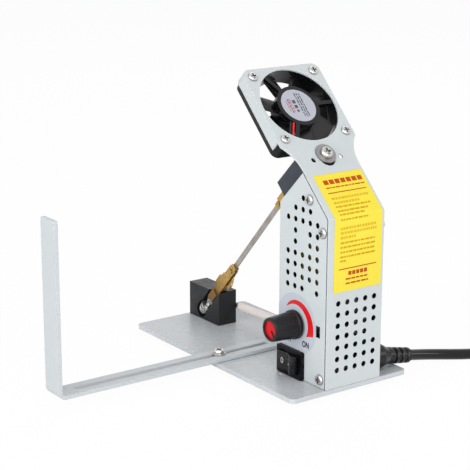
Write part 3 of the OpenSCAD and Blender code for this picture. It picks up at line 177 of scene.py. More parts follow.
# two thin fan leads: along a strut, through the notch, under the neck into the tower
FAN_LEAD_D = 1.2 * MM
LEAD_SIDES = {"red": -2.1, "black": -3.8}
STRUT_TURN = math.radians(240)
STRUT_FROM = 12.6
STRUT_TO = 28.2
STRUT_SHARES = (0, 0.4, 0.75, 1)
STRUT_OUT = -0.8
NOTCH_UP = -26.2
NOTCH_OUT = -1.3
NECK_ACROSS = -15.3
NECK_UP = (-27.8, -33, -40, -47.9)
NECK_OUT = -1.6


def smooth_line(points, steps=6):
    """Points of a smooth curve through given points."""
    ends = [2 * points[0] - points[1]] + points + [2 * points[-1] - points[-2]]
    line = []
    for p, q, r, s in zip(ends, ends[1:], ends[2:], ends[3:]):
        for i in range(steps):
            t = i / steps
            line.append(0.5 * (2 * q + (r - p) * t + (2 * p - 5 * q + 4 * r - s) * t * t
                               + (3 * q - p - 3 * r + s) * t ** 3))
    return line + [points[-1]]


def fan_lead(colour):
    """Lead on its own side of the strut, placed in millimetres across, up and out from the fan's middle."""
    side = LEAD_SIDES[colour]
    out = Vector((math.cos(STRUT_TURN), math.sin(STRUT_TURN), 0))
    across = Vector((-math.sin(STRUT_TURN), math.cos(STRUT_TURN), 0))
    strut_to = STRUT_TO + (LEAD_SIDES["red"] - side) / 2
    run = NECK_ACROSS + side - LEAD_SIDES["black"]
    places = [out * (STRUT_FROM + share * (strut_to - STRUT_FROM)) + across * side + Vector((0, 0, STRUT_OUT))
              for share in STRUT_SHARES]
    places.append(Vector(((places[-1].x + run) / 2, NOTCH_UP, NOTCH_OUT)))
    places += [Vector((run, up, NECK_OUT)) for up in NECK_UP]
    points = [roof_point(FAN_Y + p.x * MM, FAN_S + p.y * MM, p.z * MM - SHEET_T) for p in smooth_line(places)]
    piece = curve_piece("fan_wire_" + colour, points, FAN_LEAD_D, 3)
    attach(piece, "base")
    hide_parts("fan_lead_" + colour)
    return piece


red_wire = fan_lead("red")
black_wire = fan_lead("black")


# helpers that build node trees
def new_group(name, inputs, outputs):
    """Shader node group with named sockets. Returns the tree, its inputs node and its outputs node."""
    tree = bpy.data.node_groups.new(name, "ShaderNodeTree")
    for label, kind, value in inputs:
        socket = tree.interface.new_socket(label, in_out="INPUT", socket_type="NodeSocket" + kind)
        socket.default_value = value
    for label, kind in outputs:
        tree.interface.new_socket(label, in_out="OUTPUT", socket_type="NodeSocket" + kind)
    return tree, tree.nodes.new("NodeGroupInput"), tree.nodes.new("NodeGroupOutput")


def add(tree, kind, **values):
    made = tree.nodes.new("ShaderNode" + kind)
    for key, value in values.items():
        setattr(made, key, value)
    return made


def math_node(tree, operation, a, b=None, clamp=False):
    made = add(tree, "Math", operation=operation, use_clamp=clamp)
    for socket, value in zip(made.inputs, (a, b)):
        if value is None:
            continue
        if isinstance(value, (int, float)):
            socket.default_value = value
        else:
            tree.links.new(value, socket)
    return made.outputs[0]


def noise(tree, coordinates, scale, detail=2.0, rough=0.5):
    made = add(tree, "TexNoise")
    tree.links.new(coordinates, made.inputs["Vector"])
    if isinstance(scale, (int, float)):
        made.inputs["Scale"].default_value = scale
    else:
        tree.links.new(scale, made.inputs["Scale"])
    made.inputs["Detail"].default_value = detail
    made.inputs["Roughness"].default_value = rough
    return made.outputs["Fac"]


def spread(tree, value, low, high, to_low=0.0, to_high=1.0):
    made = add(tree, "MapRange")
    tree.links.new(value, made.inputs["Value"])
    for label, number in (("From Min", low), ("From Max", high), ("To Min", to_low), ("To Max", to_high)):
        if isinstance(number, (int, float)):
            made.inputs[label].default_value = number
        else:
            tree.links.new(number, made.inputs[label])
    return made.outputs["Result"]


def mix_colour(tree, factor, a, b, blend="MIX"):
    made = add(tree, "Mix", data_type="RGBA", blend_type=blend)
    for label, value in (("Factor", factor), ("A", a), ("B", b)):
        socket = next(s for s in made.inputs if s.name == label and s.enabled)
        if isinstance(value, (int, float, tuple)):
            socket.default_value = value
        else:
            tree.links.new(value, socket)
    return next(s for s in made.outputs if s.enabled)


def make_skin_group():
    """Moulded or coated skin: drifting tone, fine grain for bump and roughness."""
    tree, put, out = new_group(
        "skin_grain",
        [("Colour", "Color", (0.5, 0.5, 0.5, 1)), ("Drift", "Float", 0.06), ("Grain per m", "Float", 2500.0),
         ("Rough low", "Float", 0.35), ("Rough high", "Float", 0.5)],
        [("Colour", "Color"), ("Rough", "Float"), ("Height", "Float")])
    where = add(tree, "TexCoord").outputs["Object"]
    broad = noise(tree, where, 28.0, 3.0)
    fine = noise(tree, where, put.outputs["Grain per m"], 2.0, 0.6)
    patch = noise(tree, where, 160.0, 4.0, 0.6)
    shade = spread(tree, broad, 0.3, 0.7, -1.0, 1.0)
    speck = spread(tree, fine, 0.3, 0.7, -0.5, 0.5)
    wobble = math_node(tree, "MULTIPLY", math_node(tree, "ADD", shade, speck), put.outputs["Drift"])
    gain = math_node(tree, "ADD", wobble, 1.0)
    colour = add(tree, "VectorMath", operation="SCALE")
    tree.links.new(put.outputs["Colour"], colour.inputs[0])
    tree.links.new(gain, colour.inputs["Scale"])
    tree.links.new(colour.outputs[0], out.inputs["Colour"])
    rough = spread(tree, patch, 0.35, 0.65, put.outputs["Rough low"], put.outputs["Rough high"])
    tree.links.new(rough, out.inputs["Rough"])
    tree.links.new(fine, out.inputs["Height"])
    return tree


def make_metal_group():
    """Bare metal: tone, stains of a second colour, fine lines along one direction."""
    tree, put, out = new_group(
        "metal_lines",
        [("Colour", "Color", (0.6, 0.6, 0.6, 1)), ("Stain", "Color", (0.3, 0.25, 0.2, 1)),
         ("Stain amount", "Float", 0.2), ("Stain per m", "Float", 300.0),
         ("Lines", "Vector", (4000, 4000, 300)), ("Rough low", "Float", 0.2), ("Rough high", "Float", 0.4)],
        [("Colour", "Color"), ("Rough", "Float"), ("Height", "Float")])
    where = add(tree, "TexCoord").outputs["Object"]
    drawn = add(tree, "VectorMath", operation="MULTIPLY")
    tree.links.new(where, drawn.inputs[0])
    tree.links.new(put.outputs["Lines"], drawn.inputs[1])
    lines = noise(tree, drawn.outputs[0], 1.0, 3.0, 0.6)
    blot = noise(tree, where, put.outputs["Stain per m"], 4.0, 0.65)
    mask = math_node(tree, "MULTIPLY", spread(tree, blot, 0.45, 0.7), put.outputs["Stain amount"], True)
    base = mix_colour(tree, mask, put.outputs["Colour"], put.outputs["Stain"])
    tone = spread(tree, lines, 0.3, 0.7, 0.9, 1.08)
    colour = add(tree, "VectorMath", operation="SCALE")
    tree.links.new(base, colour.inputs[0])
    tree.links.new(tone, colour.inputs["Scale"])
    tree.links.new(colour.outputs[0], out.inputs["Colour"])
    low = spread(tree, lines, 0.3, 0.7, put.outputs["Rough low"], put.outputs["Rough high"])
    rough = math_node(tree, "ADD", low, math_node(tree, "MULTIPLY", mask, 0.25))
    tree.links.new(rough, out.inputs["Rough"])
    tree.links.new(lines, out.inputs["Height"])
    return tree


def make_braid_group():
    """Two crossing sets of slanted threads."""
    tree, put, out = new_group(
        "braided_threads",
        [("Thread", "Color", (0.8, 0.8, 0.75, 1)), ("Gap", "Color", (0.5, 0.45, 0.4, 1)),
         ("Threads per m", "Float", 900.0)],
        [("Colour", "Color"), ("Height", "Float")])
    where = add(tree, "TexCoord").outputs["Object"]
    heights = []
    for slant in (1.0, -1.0):
        split = add(tree, "SeparateXYZ")
        tree.links.new(where, split.inputs[0])
        rise = math_node(tree, "ADD", split.outputs["Y"], split.outputs["Z"])
        across = math_node(tree, "MULTIPLY", rise, slant)
        slanted = math_node(tree, "ADD", split.outputs["X"], across)
        phase = math_node(tree, "MULTIPLY", slanted, put.outputs["Threads per m"])
        heights.append(math_node(tree, "ABSOLUTE", math_node(tree, "SINE", phase)))
    height = math_node(tree, "MAXIMUM", *heights)
    tree.links.new(mix_colour(tree, height, put.outputs["Gap"], put.outputs["Thread"]), out.inputs["Colour"])
    tree.links.new(height, out.inputs["Height"])
    return tree


def make_edge_highlight_group():
    """Mask for a painted highlight along sharp edges, broken up by noise."""
    tree, put, out = new_group(
        "painted_edge_highlight",
        [("Width", "Float", 0.0004), ("Amount", "Float", 1.0)],
        [("Mask", "Float")])
    round_off = add(tree, "Bevel", samples=4)
    tree.links.new(put.outputs["Width"], round_off.inputs["Radius"])
    flat = add(tree, "NewGeometry").outputs["Normal"]
    dot = add(tree, "VectorMath", operation="DOT_PRODUCT")
    tree.links.new(round_off.outputs[0], dot.inputs[0])
    tree.links.new(flat, dot.inputs[1])
    edge = spread(tree, dot.outputs["Value"], 0.99, 0.85)
    where = add(tree, "TexCoord").outputs["Object"]
    broken = spread(tree, noise(tree, where, 700.0, 3.0), 0.35, 0.6)
    mask = math_node(tree, "MULTIPLY", math_node(tree, "MULTIPLY", edge, broken), put.outputs["Amount"], True)
    tree.links.new(mask, out.inputs["Mask"])
    return tree


# space behind the tower's sheets, which gets painted shade: its walls, and the two slopes as the sum and the
# difference of Z and X
INSIDE_X = (34.1 * MM, 73.8 * MM)
INSIDE_Y = (26.25 * MM, 62.25 * MM)
INSIDE_SUM = 170.2 * MM
INSIDE_DIFFERENCE = 63.6 * MM


def make_inside_shade_group():
    """Mask of everything behind the tower's sheets, for painted shade inside the tower and on the walls of its
    vents.
    """
    tree, _, out = new_group("painted_shade_behind_sheets", [], [("Mask", "Float")])
    split = add(tree, "SeparateXYZ")
    tree.links.new(add(tree, "TexCoord").outputs["Object"], split.inputs[0])
    x, y, z = split.outputs
    mask = math_node(tree, "GREATER_THAN", x, INSIDE_X[0])
    for value, operation, limit in ((x, "LESS_THAN", INSIDE_X[1]), (y, "GREATER_THAN", INSIDE_Y[0]),
                                    (y, "LESS_THAN", INSIDE_Y[1]),
                                    (math_node(tree, "ADD", x, z), "LESS_THAN", INSIDE_SUM),
                                    (math_node(tree, "SUBTRACT", z, x), "LESS_THAN", INSIDE_DIFFERENCE)):
        mask = math_node(tree, "MULTIPLY", mask, math_node(tree, operation, value, limit))
    tree.links.new(mask, out.inputs["Mask"])
    return tree


def make_slot_shade_group():
    """Mask for painted shade on the walls of the guide's slot, below its upper face."""
    tree, _, out = new_group("painted_shade_slot_walls", [], [("Mask", "Float")])
    split = add(tree, "SeparateXYZ")
    tree.links.new(add(tree, "TexCoord").outputs["Object"], split.inputs[0])
    off = math_node(tree, "ABSOLUTE", math_node(tree, "SUBTRACT", split.outputs["X"], GUIDE_X))
    near = math_node(tree, "LESS_THAN", off, GUIDE_SLOT[2] + 0.05 * MM)
    low = math_node(tree, "LESS_THAN", split.outputs["Z"], GUIDE_Z0 + GUIDE_T - 0.03 * MM)
    tree.links.new(math_node(tree, "MULTIPLY", near, low), out.inputs["Mask"])
    return tree


def make_contact_group():
    """Mask of narrow places: recesses and lines where pieces meet."""
    tree, put, out = new_group(
        "narrow_places", [("Reach", "Float", 0.002), ("Amount", "Float", 1.0)], [("Mask", "Float")])
    near = add(tree, "AmbientOcclusion", samples=8)
    tree.links.new(put.outputs["Reach"], near.inputs["Distance"])
    closed = math_node(tree, "SUBTRACT", 1.0, near.outputs["AO"])
    mask = math_node(tree, "MULTIPLY", spread(tree, closed, 0.2, 0.8), put.outputs["Amount"], True)
    tree.links.new(mask, out.inputs["Mask"])
    return tree


def make_reach_group():
    """Value that grows from 0 to 1 between two places along a direction."""
    tree, put, out = new_group(
        "reach_along",
        [("Direction", "Vector", (1, 0, 0)), ("From", "Float", 0.0), ("To", "Float", 0.01)],
        [("Mask", "Float")])
    dot = add(tree, "VectorMath", operation="DOT_PRODUCT")
    where = add(tree, "TexCoord").outputs["Object"]
    tree.links.new(where, dot.inputs[0])
    tree.links.new(put.outputs["Direction"], dot.inputs[1])
    uneven = spread(tree, noise(tree, where, 400.0, 3.0), 0.3, 0.7, -0.0015, 0.0015)
    place = math_node(tree, "ADD", dot.outputs["Value"], uneven)
    tree.links.new(spread(tree, place, put.outputs["From"], put.outputs["To"]), out.inputs["Mask"])
    return tree


SKIN = make_skin_group()
METAL = make_metal_group()
BRAID = make_braid_group()
EDGE_HIGHLIGHT = make_edge_highlight_group()
INSIDE_SHADE = make_inside_shade_group()
SLOT_WALL_SHADE = make_slot_shade_group()
CONTACT = make_contact_group()
REACH = make_reach_group()


def srgb(r, g, b):
    """Linear colour of a screen colour given as 0 to 255."""
    def linear(c):
        c /= 255
        return c / 12.92 if c <= 0.04045 else ((c + 0.055) / 1.055) ** 2.4
    return (linear(r), linear(g), linear(b), 1.0)


def new_finish(name):
    """Empty material with its Principled shader."""
    finish = bpy.data.materials.new(name)
    finish.use_nodes = True
    return finish, finish.node_tree, finish.node_tree.nodes["Principled BSDF"]


def use_group(tree, group, **values):
    made = tree.nodes.new("ShaderNodeGroup")
    made.node_tree = group
    for label, value in values.items():
        made.inputs[label.replace("_", " ")].default_value = value
    return made


def bump(tree, shader, height, strength, depth, soft=0.0):
    """Fine relief, over normals that are rounded off along edges by a radius."""
    made = add(tree, "Bump")
    if soft:
        rounded = add(tree, "Bevel", samples=6)
        rounded.inputs["Radius"].default_value = soft
        tree.links.new(rounded.outputs[0], made.inputs["Normal"])
    made.inputs["Strength"].default_value = strength
    made.inputs["Distance"].default_value = depth
    tree.links.new(height, made.inputs["Height"])
    tree.links.new(made.outputs["Normal"], shader.inputs["Normal"])


def darken_narrow(tree, tone, reach, amount, shade=None):
    """Colour with narrow places darkened."""
    near = use_group(tree, CONTACT, Reach=reach, Amount=amount)
    return mix_colour(tree, near.outputs["Mask"], tone, shade or SHADE)


def skin_finish(name, colour, drift=0.05, grain=2500.0, rough=(0.35, 0.5), depth=0.00002, strength=0.4,
                edge_highlight=None, specular=0.5, shaded=None, contact=None, soft=0.0):
    """Paint, plastic, rubber or resin. The edge highlight argument is the colour of a painted highlight along
    sharp edges, and its amount.
    shaded is the group of a mask and the colour under it.
    contact is the reach, amount and colour of dark lines, and soft the radius of rounded edges."""
    finish, tree, shader = new_finish(name)
    skin = use_group(tree, SKIN, Colour=colour, Drift=drift, Grain_per_m=grain, Rough_low=rough[0],
                     Rough_high=rough[1])
    tone = skin.outputs["Colour"]
    # painted highlight along sharp edges
    if edge_highlight:
        highlit = use_group(tree, EDGE_HIGHLIGHT, Amount=edge_highlight[1])
        tone = mix_colour(tree, highlit.outputs["Mask"], tone, edge_highlight[0])
    if contact:
        tone = darken_narrow(tree, tone, *contact)
    # painted shade under a mask: inside the tower and on the walls of the guide's slot
    if shaded:
        tone = mix_colour(tree, use_group(tree, shaded[0]).outputs["Mask"], tone, shaded[1])
    tree.links.new(tone, shader.inputs["Base Color"])
    tree.links.new(skin.outputs["Rough"], shader.inputs["Roughness"])
    shader.inputs["Specular IOR Level"].default_value = specular
    bump(tree, shader, skin.outputs["Height"], strength, depth, soft)
    return finish


def metal_finish(name, colour, stain, amount=0.2, per_m=300.0, lines=(4000, 4000, 300), rough=(0.2, 0.4),
                 depth=0.00001, strength=0.3, fade=None, contact=None, soft=0.0):
    """Bare metal. fade is a direction, two places along it and the colour beyond the second.
    contact is the reach and amount of dark recesses, and soft the radius of rounded edges."""
    finish, tree, shader = new_finish(name)
    metal = use_group(tree, METAL, Colour=colour, Stain=stain, Stain_amount=amount, Stain_per_m=per_m,
                      Lines=lines, Rough_low=rough[0], Rough_high=rough[1])
    shader.inputs["Metallic"].default_value = 1.0
    tone = metal.outputs["Colour"]
    if fade:
        reach = use_group(tree, REACH, Direction=fade[0], From=fade[1], To=fade[2])
        tone = mix_colour(tree, reach.outputs["Mask"], tone, fade[3])
    if contact:
        tone = darken_narrow(tree, tone, *contact)
    tree.links.new(tone, shader.inputs["Base Color"])
    tree.links.new(metal.outputs["Rough"], shader.inputs["Roughness"])
    bump(tree, shader, metal.outputs["Height"], strength, depth, soft)
    return finish


def braid_finish(name, thread, gap, per_m, depth, core, core_end):
    """Braided sleeve along X. The bare core shows before core_end."""
    finish, tree, shader = new_finish(name)
    braid = use_group(tree, BRAID, Thread=thread, Gap=gap, Threads_per_m=per_m)
    reach = use_group(tree, REACH, Direction=(1, 0, 0), From=core_end, To=core_end + 0.0001)
    tree.links.new(mix_colour(tree, reach.outputs["Mask"], core, braid.outputs["Colour"]),
                   shader.inputs["Base Color"])
    shader.inputs["Roughness"].default_value = 0.75
    shader.inputs["Sheen Weight"].default_value = 0.2
    bump(tree, shader, braid.outputs["Height"], 0.5, depth)
    return finish


# colours of painted highlights along edges, of painted shade, and of the painted shade on the walls of the
# guide's slot
PALE_HIGHLIGHT = srgb(226, 230, 232)
GREY_HIGHLIGHT = srgb(70, 72, 76)
SHADE = srgb(22, 23, 25)
BLACK_SHADE = srgb(2, 2, 3)
SLOT_SHADE = srgb(178, 181, 185)
STRIP_WAY = (0.6717, 0, 0.7408)
FINISHES = {
    "grey_paint": skin_finish("grey_paint", srgb(189, 195, 197), 0.02, 1700, (0.34, 0.46), 0.00002, 0.2,
                              edge_highlight=(PALE_HIGHLIGHT, 0.6), specular=0.35, shaded=(INSIDE_SHADE, SHADE),
                              contact=(0.0012, 0.7), soft=0.0003),
    "foot_rubber": skin_finish("foot_rubber", srgb(38, 38, 39), 0.1, 3000, (0.6, 0.8)),
    "screw_steel": metal_finish("screw_steel", srgb(198, 197, 195), srgb(140, 136, 130), 0.3, 500,
                                (2500, 2500, 2500), (0.26, 0.4), contact=(0.0012, 0.85), soft=0.00015),
    "yellow_sticker": skin_finish("yellow_sticker", srgb(226, 208, 63), 0.02, 900, (0.36, 0.46), 0.00001,
                                  0.15, specular=0.3),
    "dial_print": skin_finish("dial_print", srgb(178, 184, 194), 0.02, 1500, (0.35, 0.45), 0.00001, 0.2,
                              specular=0.3),
    "black_plastic": skin_finish("black_plastic", srgb(12, 12, 14), 0.12, 2600, (0.2, 0.32), 0.00001, 0.2,
                                 edge_highlight=(GREY_HIGHLIGHT, 0.3), specular=0.4, soft=0.0002),
    "knob_plastic": skin_finish("knob_plastic", srgb(16, 16, 18), 0.12, 2600, (0.26, 0.4), 0.00002, 0.3,
                                edge_highlight=(GREY_HIGHLIGHT, 0.4), specular=0.3, soft=0.0002),
    "red_plastic": skin_finish("red_plastic", srgb(196, 14, 24), 0.06, 2200, (0.3, 0.45), 0.00001, 0.2,
                               specular=0.2),
    "fan_plastic": skin_finish("fan_plastic", srgb(10, 10, 12), 0.12, 2200, (0.22, 0.36), 0.00002, 0.3,
                               edge_highlight=(GREY_HIGHLIGHT, 0.3), specular=0.3, soft=0.0003),
    "copper_winding": metal_finish("copper_winding", srgb(196, 118, 72), srgb(110, 58, 34), 0.4, 900,
                                   (800, 800, 6000), (0.25, 0.4)),
    "silver_foil": skin_finish("silver_foil", srgb(170, 173, 183), 0.02, 1200, (0.25, 0.4), 0.00001, 0.2,
                               specular=0.3),
    "red_insulation": skin_finish("red_insulation", srgb(206, 24, 30), 0.06, 2600, (0.3, 0.45)),
    "core_steel": metal_finish("core_steel", srgb(120, 120, 124), srgb(74, 66, 58), 0.5, 260,
                               (300, 4000, 300), (0.35, 0.55)),
    "winding_tape": skin_finish("winding_tape", srgb(196, 182, 58), 0.12, 1200, (0.3, 0.5), 0.00003, 0.4),
    "board_green": skin_finish("board_green", srgb(34, 96, 52), 0.15, 1600, (0.3, 0.45)),
    "aluminium": metal_finish("aluminium", srgb(206, 207, 209), srgb(150, 150, 152), 0.3, 300,
                              (300, 4500, 4500), (0.25, 0.42)),
    "part_blue": skin_finish("part_blue", srgb(46, 76, 120), 0.08, 1800, (0.25, 0.4)),
    "white_plastic": skin_finish("white_plastic", srgb(232, 230, 222), 0.03, 2200, (0.4, 0.55)),
    "slate_resin": skin_finish("slate_resin", srgb(47, 52, 61), 0.12, 1300, (0.42, 0.6), 0.00003, 0.4,
                               edge_highlight=(srgb(120, 126, 136), 0.5), specular=0.35, soft=0.0003),
    "black_resin": skin_finish("black_resin", srgb(21, 22, 25), 0.16, 1400, (0.4, 0.58), 0.00003, 0.35,
                               edge_highlight=(srgb(92, 92, 95), 0.4), specular=0.3, soft=0.0003),
    "clip_brass": metal_finish("clip_brass", srgb(196, 162, 96), srgb(104, 82, 44), 0.75, 700,
                               (1800, 1800, 1800), (0.34, 0.52), 0.00003, 0.4, contact=(0.0015, 0.8),
                               soft=0.0002),
    "strip_steel": metal_finish("strip_steel", srgb(168, 164, 160), srgb(120, 98, 72), 0.45, 120,
                                (700, 5000, 700), (0.28, 0.42)),
    "cream_sleeve": braid_finish("cream_sleeve", srgb(228, 222, 218), srgb(206, 198, 192), 2400, 0.0001,
                                 srgb(70, 50, 44), -42.15 * MM),
    "cord_rubber": skin_finish("cord_rubber", srgb(14, 14, 16), 0.08, 2600, (0.15, 0.22), 0.00001, 0.2,
                               specular=0.3),
    "pin_nickel": metal_finish("pin_nickel", srgb(214, 212, 206), srgb(150, 144, 134), 0.25, 400,
                               (2500, 2500, 2500), (0.14, 0.28)),
}
DULL_RUBBER = skin_finish("dull_rubber", srgb(16, 16, 18), 0.08, 2600, (0.5, 0.62), 0.00002, 0.25,
                          edge_highlight=(GREY_HIGHLIGHT, 0.3), specular=0.25, soft=0.0003)
# finishes that differ from those of their slot
NODE_FINISHES = {
    "plug_body": DULL_RUBBER,
    "cord_tie": DULL_RUBBER,
    "base_plate": skin_finish("plate_paint", srgb(188, 192, 196), 0.02, 1700, (0.25, 0.29), 0.00001, 0.08,
                              edge_highlight=(PALE_HIGHLIGHT, 0.6), specular=0.25, contact=(0.002, 1.0), soft=0.0003),
    # painted shade on the walls of the slot
    "guide_bar": skin_finish("guide_paint", srgb(186, 191, 194), 0.02, 1700, (0.34, 0.46), 0.00002, 0.2,
                             edge_highlight=(PALE_HIGHLIGHT, 0.6), specular=0.3, shaded=(SLOT_WALL_SHADE, SLOT_SHADE), soft=0.0003),
    "strain_relief": skin_finish("relief_rubber", srgb(13, 13, 15), 0.08, 2600, (0.24, 0.36), 0.00002, 0.3,
                                 edge_highlight=(srgb(100, 100, 104), 0.8), specular=0.3,
                                 contact=(0.0025, 1.0, BLACK_SHADE), soft=0.0002),
    "switch_body": skin_finish("bezel_plastic", srgb(5, 5, 7), 0.1, 2600, (0.24, 0.36), 0.00001, 0.2,
                               edge_highlight=(GREY_HIGHLIGHT, 0.15), specular=0.15, soft=0.0002),
    "tension_washer": metal_finish("washer_steel", srgb(150, 148, 148), srgb(108, 104, 100), 0.3, 400,
                                   (2500, 2500, 2500), (0.3, 0.42), contact=(0.001, 0.6), soft=0.0002),
    # darker and browner towards the lower end of the strip
    "lower_clip": metal_finish("clip_darker_low", srgb(196, 162, 96), srgb(104, 82, 44), 0.75, 700,
                               (1800, 1800, 1800), (0.34, 0.52), 0.00003, 0.4,
                               fade=(STRIP_WAY, 0.0, -0.0168, srgb(128, 98, 56)),
                               contact=(0.0015, 0.8), soft=0.0002),
}


def dress(piece, finish):
    piece.data.materials.clear()
    piece.data.materials.append(finish)


for subpart in frame["record"]["subparts"]:
    name = subpart["node"]
    dress(node[name], NODE_FINISHES.get(name) or FINISHES[subpart["material_slot"]])
for piece in (mains_lead, black_wire):
    dress(piece, FINISHES["cord_rubber"])
dress(red_wire, FINISHES["red_insulation"])


# length guide: slotted strip bent up at its end, with small corners on the upright
TOP_ROUND = 1.2 * MM
END_ROUND = 3.0 * MM
ARC_STEPS = 10


def arc(u, v, r, first, last):
    """Points of an arc in the strip's own directions."""
    turns = [math.radians(first + (last - first) * i / ARC_STEPS) for i in range(ARC_STEPS + 1)]
    return [(u + r * math.cos(a), v + r * math.sin(a)) for a in turns]


def guide_strip():
    bm = bmesh.new()
    bend = GUIDE_BEND + GUIDE_T
    bend_y = GUIDE_Y0 + bend
    bend_z = GUIDE_Z0 + bend
    slot_0, slot_1, slot_r = GUIDE_SLOT

    def face(*places):
        bm.faces.new([bm.verts.new(place) for place in places])

    def slab(outline, lay, open_edges):
        """Two faces of a slab and the walls between them, except along open edges."""
        for side in (0, 1):
            face(*[lay(u, v, side) for u, v in outline])
        for i, (a, b) in enumerate(zip(outline, outline[1:] + outline[:1])):
            if i not in open_edges:
                face(lay(*a, 0), lay(*b, 0), lay(*b, 1), lay(*a, 1))

    def flat(u, v, side):
        return (GUIDE_X + u, v, GUIDE_Z0 + side * GUIDE_T)

    def upright(u, v, side):
        return (GUIDE_X + u, GUIDE_Y0 + side * GUIDE_T, v)

    def bent(u, turn, side):
        r = bend - side * GUIDE_T
        return (GUIDE_X + u, bend_y - r * math.sin(turn), bend_z - r * math.cos(turn))

    half = [(0, bend_y), (GUIDE_HALF, bend_y)]
    half += arc(GUIDE_HALF - END_ROUND, GUIDE_END - END_ROUND, END_ROUND, 0, 90) + [(0, GUIDE_END)]
    seam = len(half) - 1
    half += arc(0, slot_1 - slot_r, slot_r, 90, 0) + arc(0, slot_0 + slot_r, slot_r, 0, -90)
    for way in (1, -1):
        slab([(way * u, v) for u, v in half], flat, (0, seam, len(half) - 1))
        for i in range(ARC_STEPS):
            a, b = (math.pi / 2 * k / ARC_STEPS for k in (i, i + 1))
            edge = way * GUIDE_HALF
            for side in (0, 1):
                face(bent(0, a, side), bent(edge, a, side), bent(edge, b, side), bent(0, b, side))
            face(bent(edge, a, 0), bent(edge, b, 0), bent(edge, b, 1), bent(edge, a, 1))
    tall = [(-GUIDE_HALF, bend_z), (0, bend_z), (GUIDE_HALF, bend_z)]
    tall += arc(GUIDE_HALF - TOP_ROUND, GUIDE_TOP - TOP_ROUND, TOP_ROUND, 0, 90)
    tall += arc(TOP_ROUND - GUIDE_HALF, GUIDE_TOP - TOP_ROUND, TOP_ROUND, 90, 180)
    slab(tall, upright, (0, 1))
    bmesh.ops.remove_doubles(bm, verts=bm.verts, dist=0.000001)
    bmesh.ops.recalc_face_normals(bm, faces=bm.faces)
    mesh = bpy.data.meshes.new("length_guide")
    bm.to_mesh(mesh)
    bm.free()
    piece = bpy.data.objects.new("length_guide", mesh)
    scene.collection.objects.link(piece)
    dress(piece, NODE_FINISHES["guide_bar"])
    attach(piece, "guide")
    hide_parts("guide_bar")


guide_strip()


# thin prints
def ink_finish(name, colour, drift=0.05, rough=(0.35, 0.45), specular=0.5):
    return skin_finish(name, colour, drift, 1800, rough, 0.000005, 0.1, specular=specular)


MATT_INK = (0.4, 0.5)
INK = {
    "crescent_red": ink_finish("crescent_red", srgb(206, 22, 28), 0.03, specular=0.2),
    "dial_black": ink_finish("dial_black", srgb(6, 6, 9), rough=MATT_INK, specular=0.1),
    "switch_white": ink_finish("switch_white", srgb(206, 206, 208), 0.04, MATT_INK),
    "sticker_red": ink_finish("sticker_red", srgb(178, 70, 4), specular=0.2),
    "sticker_brown": ink_finish("sticker_brown", srgb(194, 148, 22), specular=0.2),
    "sticker_ochre": ink_finish("sticker_ochre", srgb(206, 168, 34), specular=0.2),
    "foil_grey": ink_finish("foil_grey", srgb(64, 65, 74)),
    "foil_red": ink_finish("foil_red", srgb(190, 60, 78)),
}
INK_T = 0.00004


def frame_at(origin, right, up):
    """Matrix of a flat place with its right and up directions, Z square to it."""
    right = Vector(right).normalized()
    up = Vector(up).normalized()
    axes = Matrix((right, up, right.cross(up))).transposed()
    return Matrix.Translation(origin) @ axes.to_4x4()


def ink_piece(name, outlines, place, finish, body):
    """Thin closed plates, one for each outline, standing on a flat place."""
    mesh = bpy.data.meshes.new(name)
    bm = bmesh.new()
    for outline in outlines:
        low = [bm.verts.new((x, y, 0)) for x, y in outline]
        high = [bm.verts.new((x, y, INK_T)) for x, y in outline]
        bm.faces.new(low[::-1])
        bm.faces.new(high)
        for i in range(len(outline)):
            j = (i + 1) % len(outline)
            bm.faces.new((low[i], low[j], high[j], high[i]))
    bmesh.ops.recalc_face_normals(bm, faces=bm.faces)
    bm.to_mesh(mesh)
    bm.free()
    mesh.transform(place)
    piece = bpy.data.objects.new(name, mesh)
    scene.collection.objects.link(piece)
    dress(piece, finish)
    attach(piece, body)


def ring_quads(wide, high, stroke, count=24):
    """Outlines of a flat oval ring cut into short pieces."""
    def at(i, inset):
        a = 2 * math.pi * i / count
        return ((wide - inset) * math.cos(a), (high - inset) * math.sin(a))
    return [[at(i, stroke), at(i, 0), at(i + 1, 0), at(i + 1, stroke)] for i in range(count)]


def bar(x0, y0, x1, y1):
    return [(x0 * MM, y0 * MM), (x1 * MM, y0 * MM), (x1 * MM, y1 * MM), (x0 * MM, y1 * MM)]


KNOB_X = 48.55 * MM
KNOB_Z = 34.9 * MM
DIAL_Y = HOUSE_Y0 - 0.15 * MM
dial_place = frame_at((KNOB_X, DIAL_Y, KNOB_Z), (1, 0, 0), (0, 0, 1))


# crescent: angle of its point, angles of its blunt end outside and inside, radii at the point and their change
CRESCENT_POINT = 134.8
CRESCENT_END = (-13.4, -28.6)
CRESCENT_R = (11.0, 10.9)
CRESCENT_GROWS = (3.85, -1.0)
CRESCENT_STEPS = 48


def crescent_outline():
    """Tapered arc that widens clockwise from a point to a blunt end."""
    outer, inner = [], []
    for i in range(CRESCENT_STEPS + 1):
        f = i / CRESCENT_STEPS
        outer_r = CRESCENT_R[0] + CRESCENT_GROWS[0] * math.sqrt(f)
        inner_r = CRESCENT_R[1] + CRESCENT_GROWS[1] * f
        for line, end, r in ((outer, CRESCENT_END[0], outer_r), (inner, CRESCENT_END[1], inner_r)):
            a = math.radians(CRESCENT_POINT + (end - CRESCENT_POINT) * f)
            line.append((r * MM * math.cos(a), r * MM * math.sin(a)))
    return outer + inner[::-1]


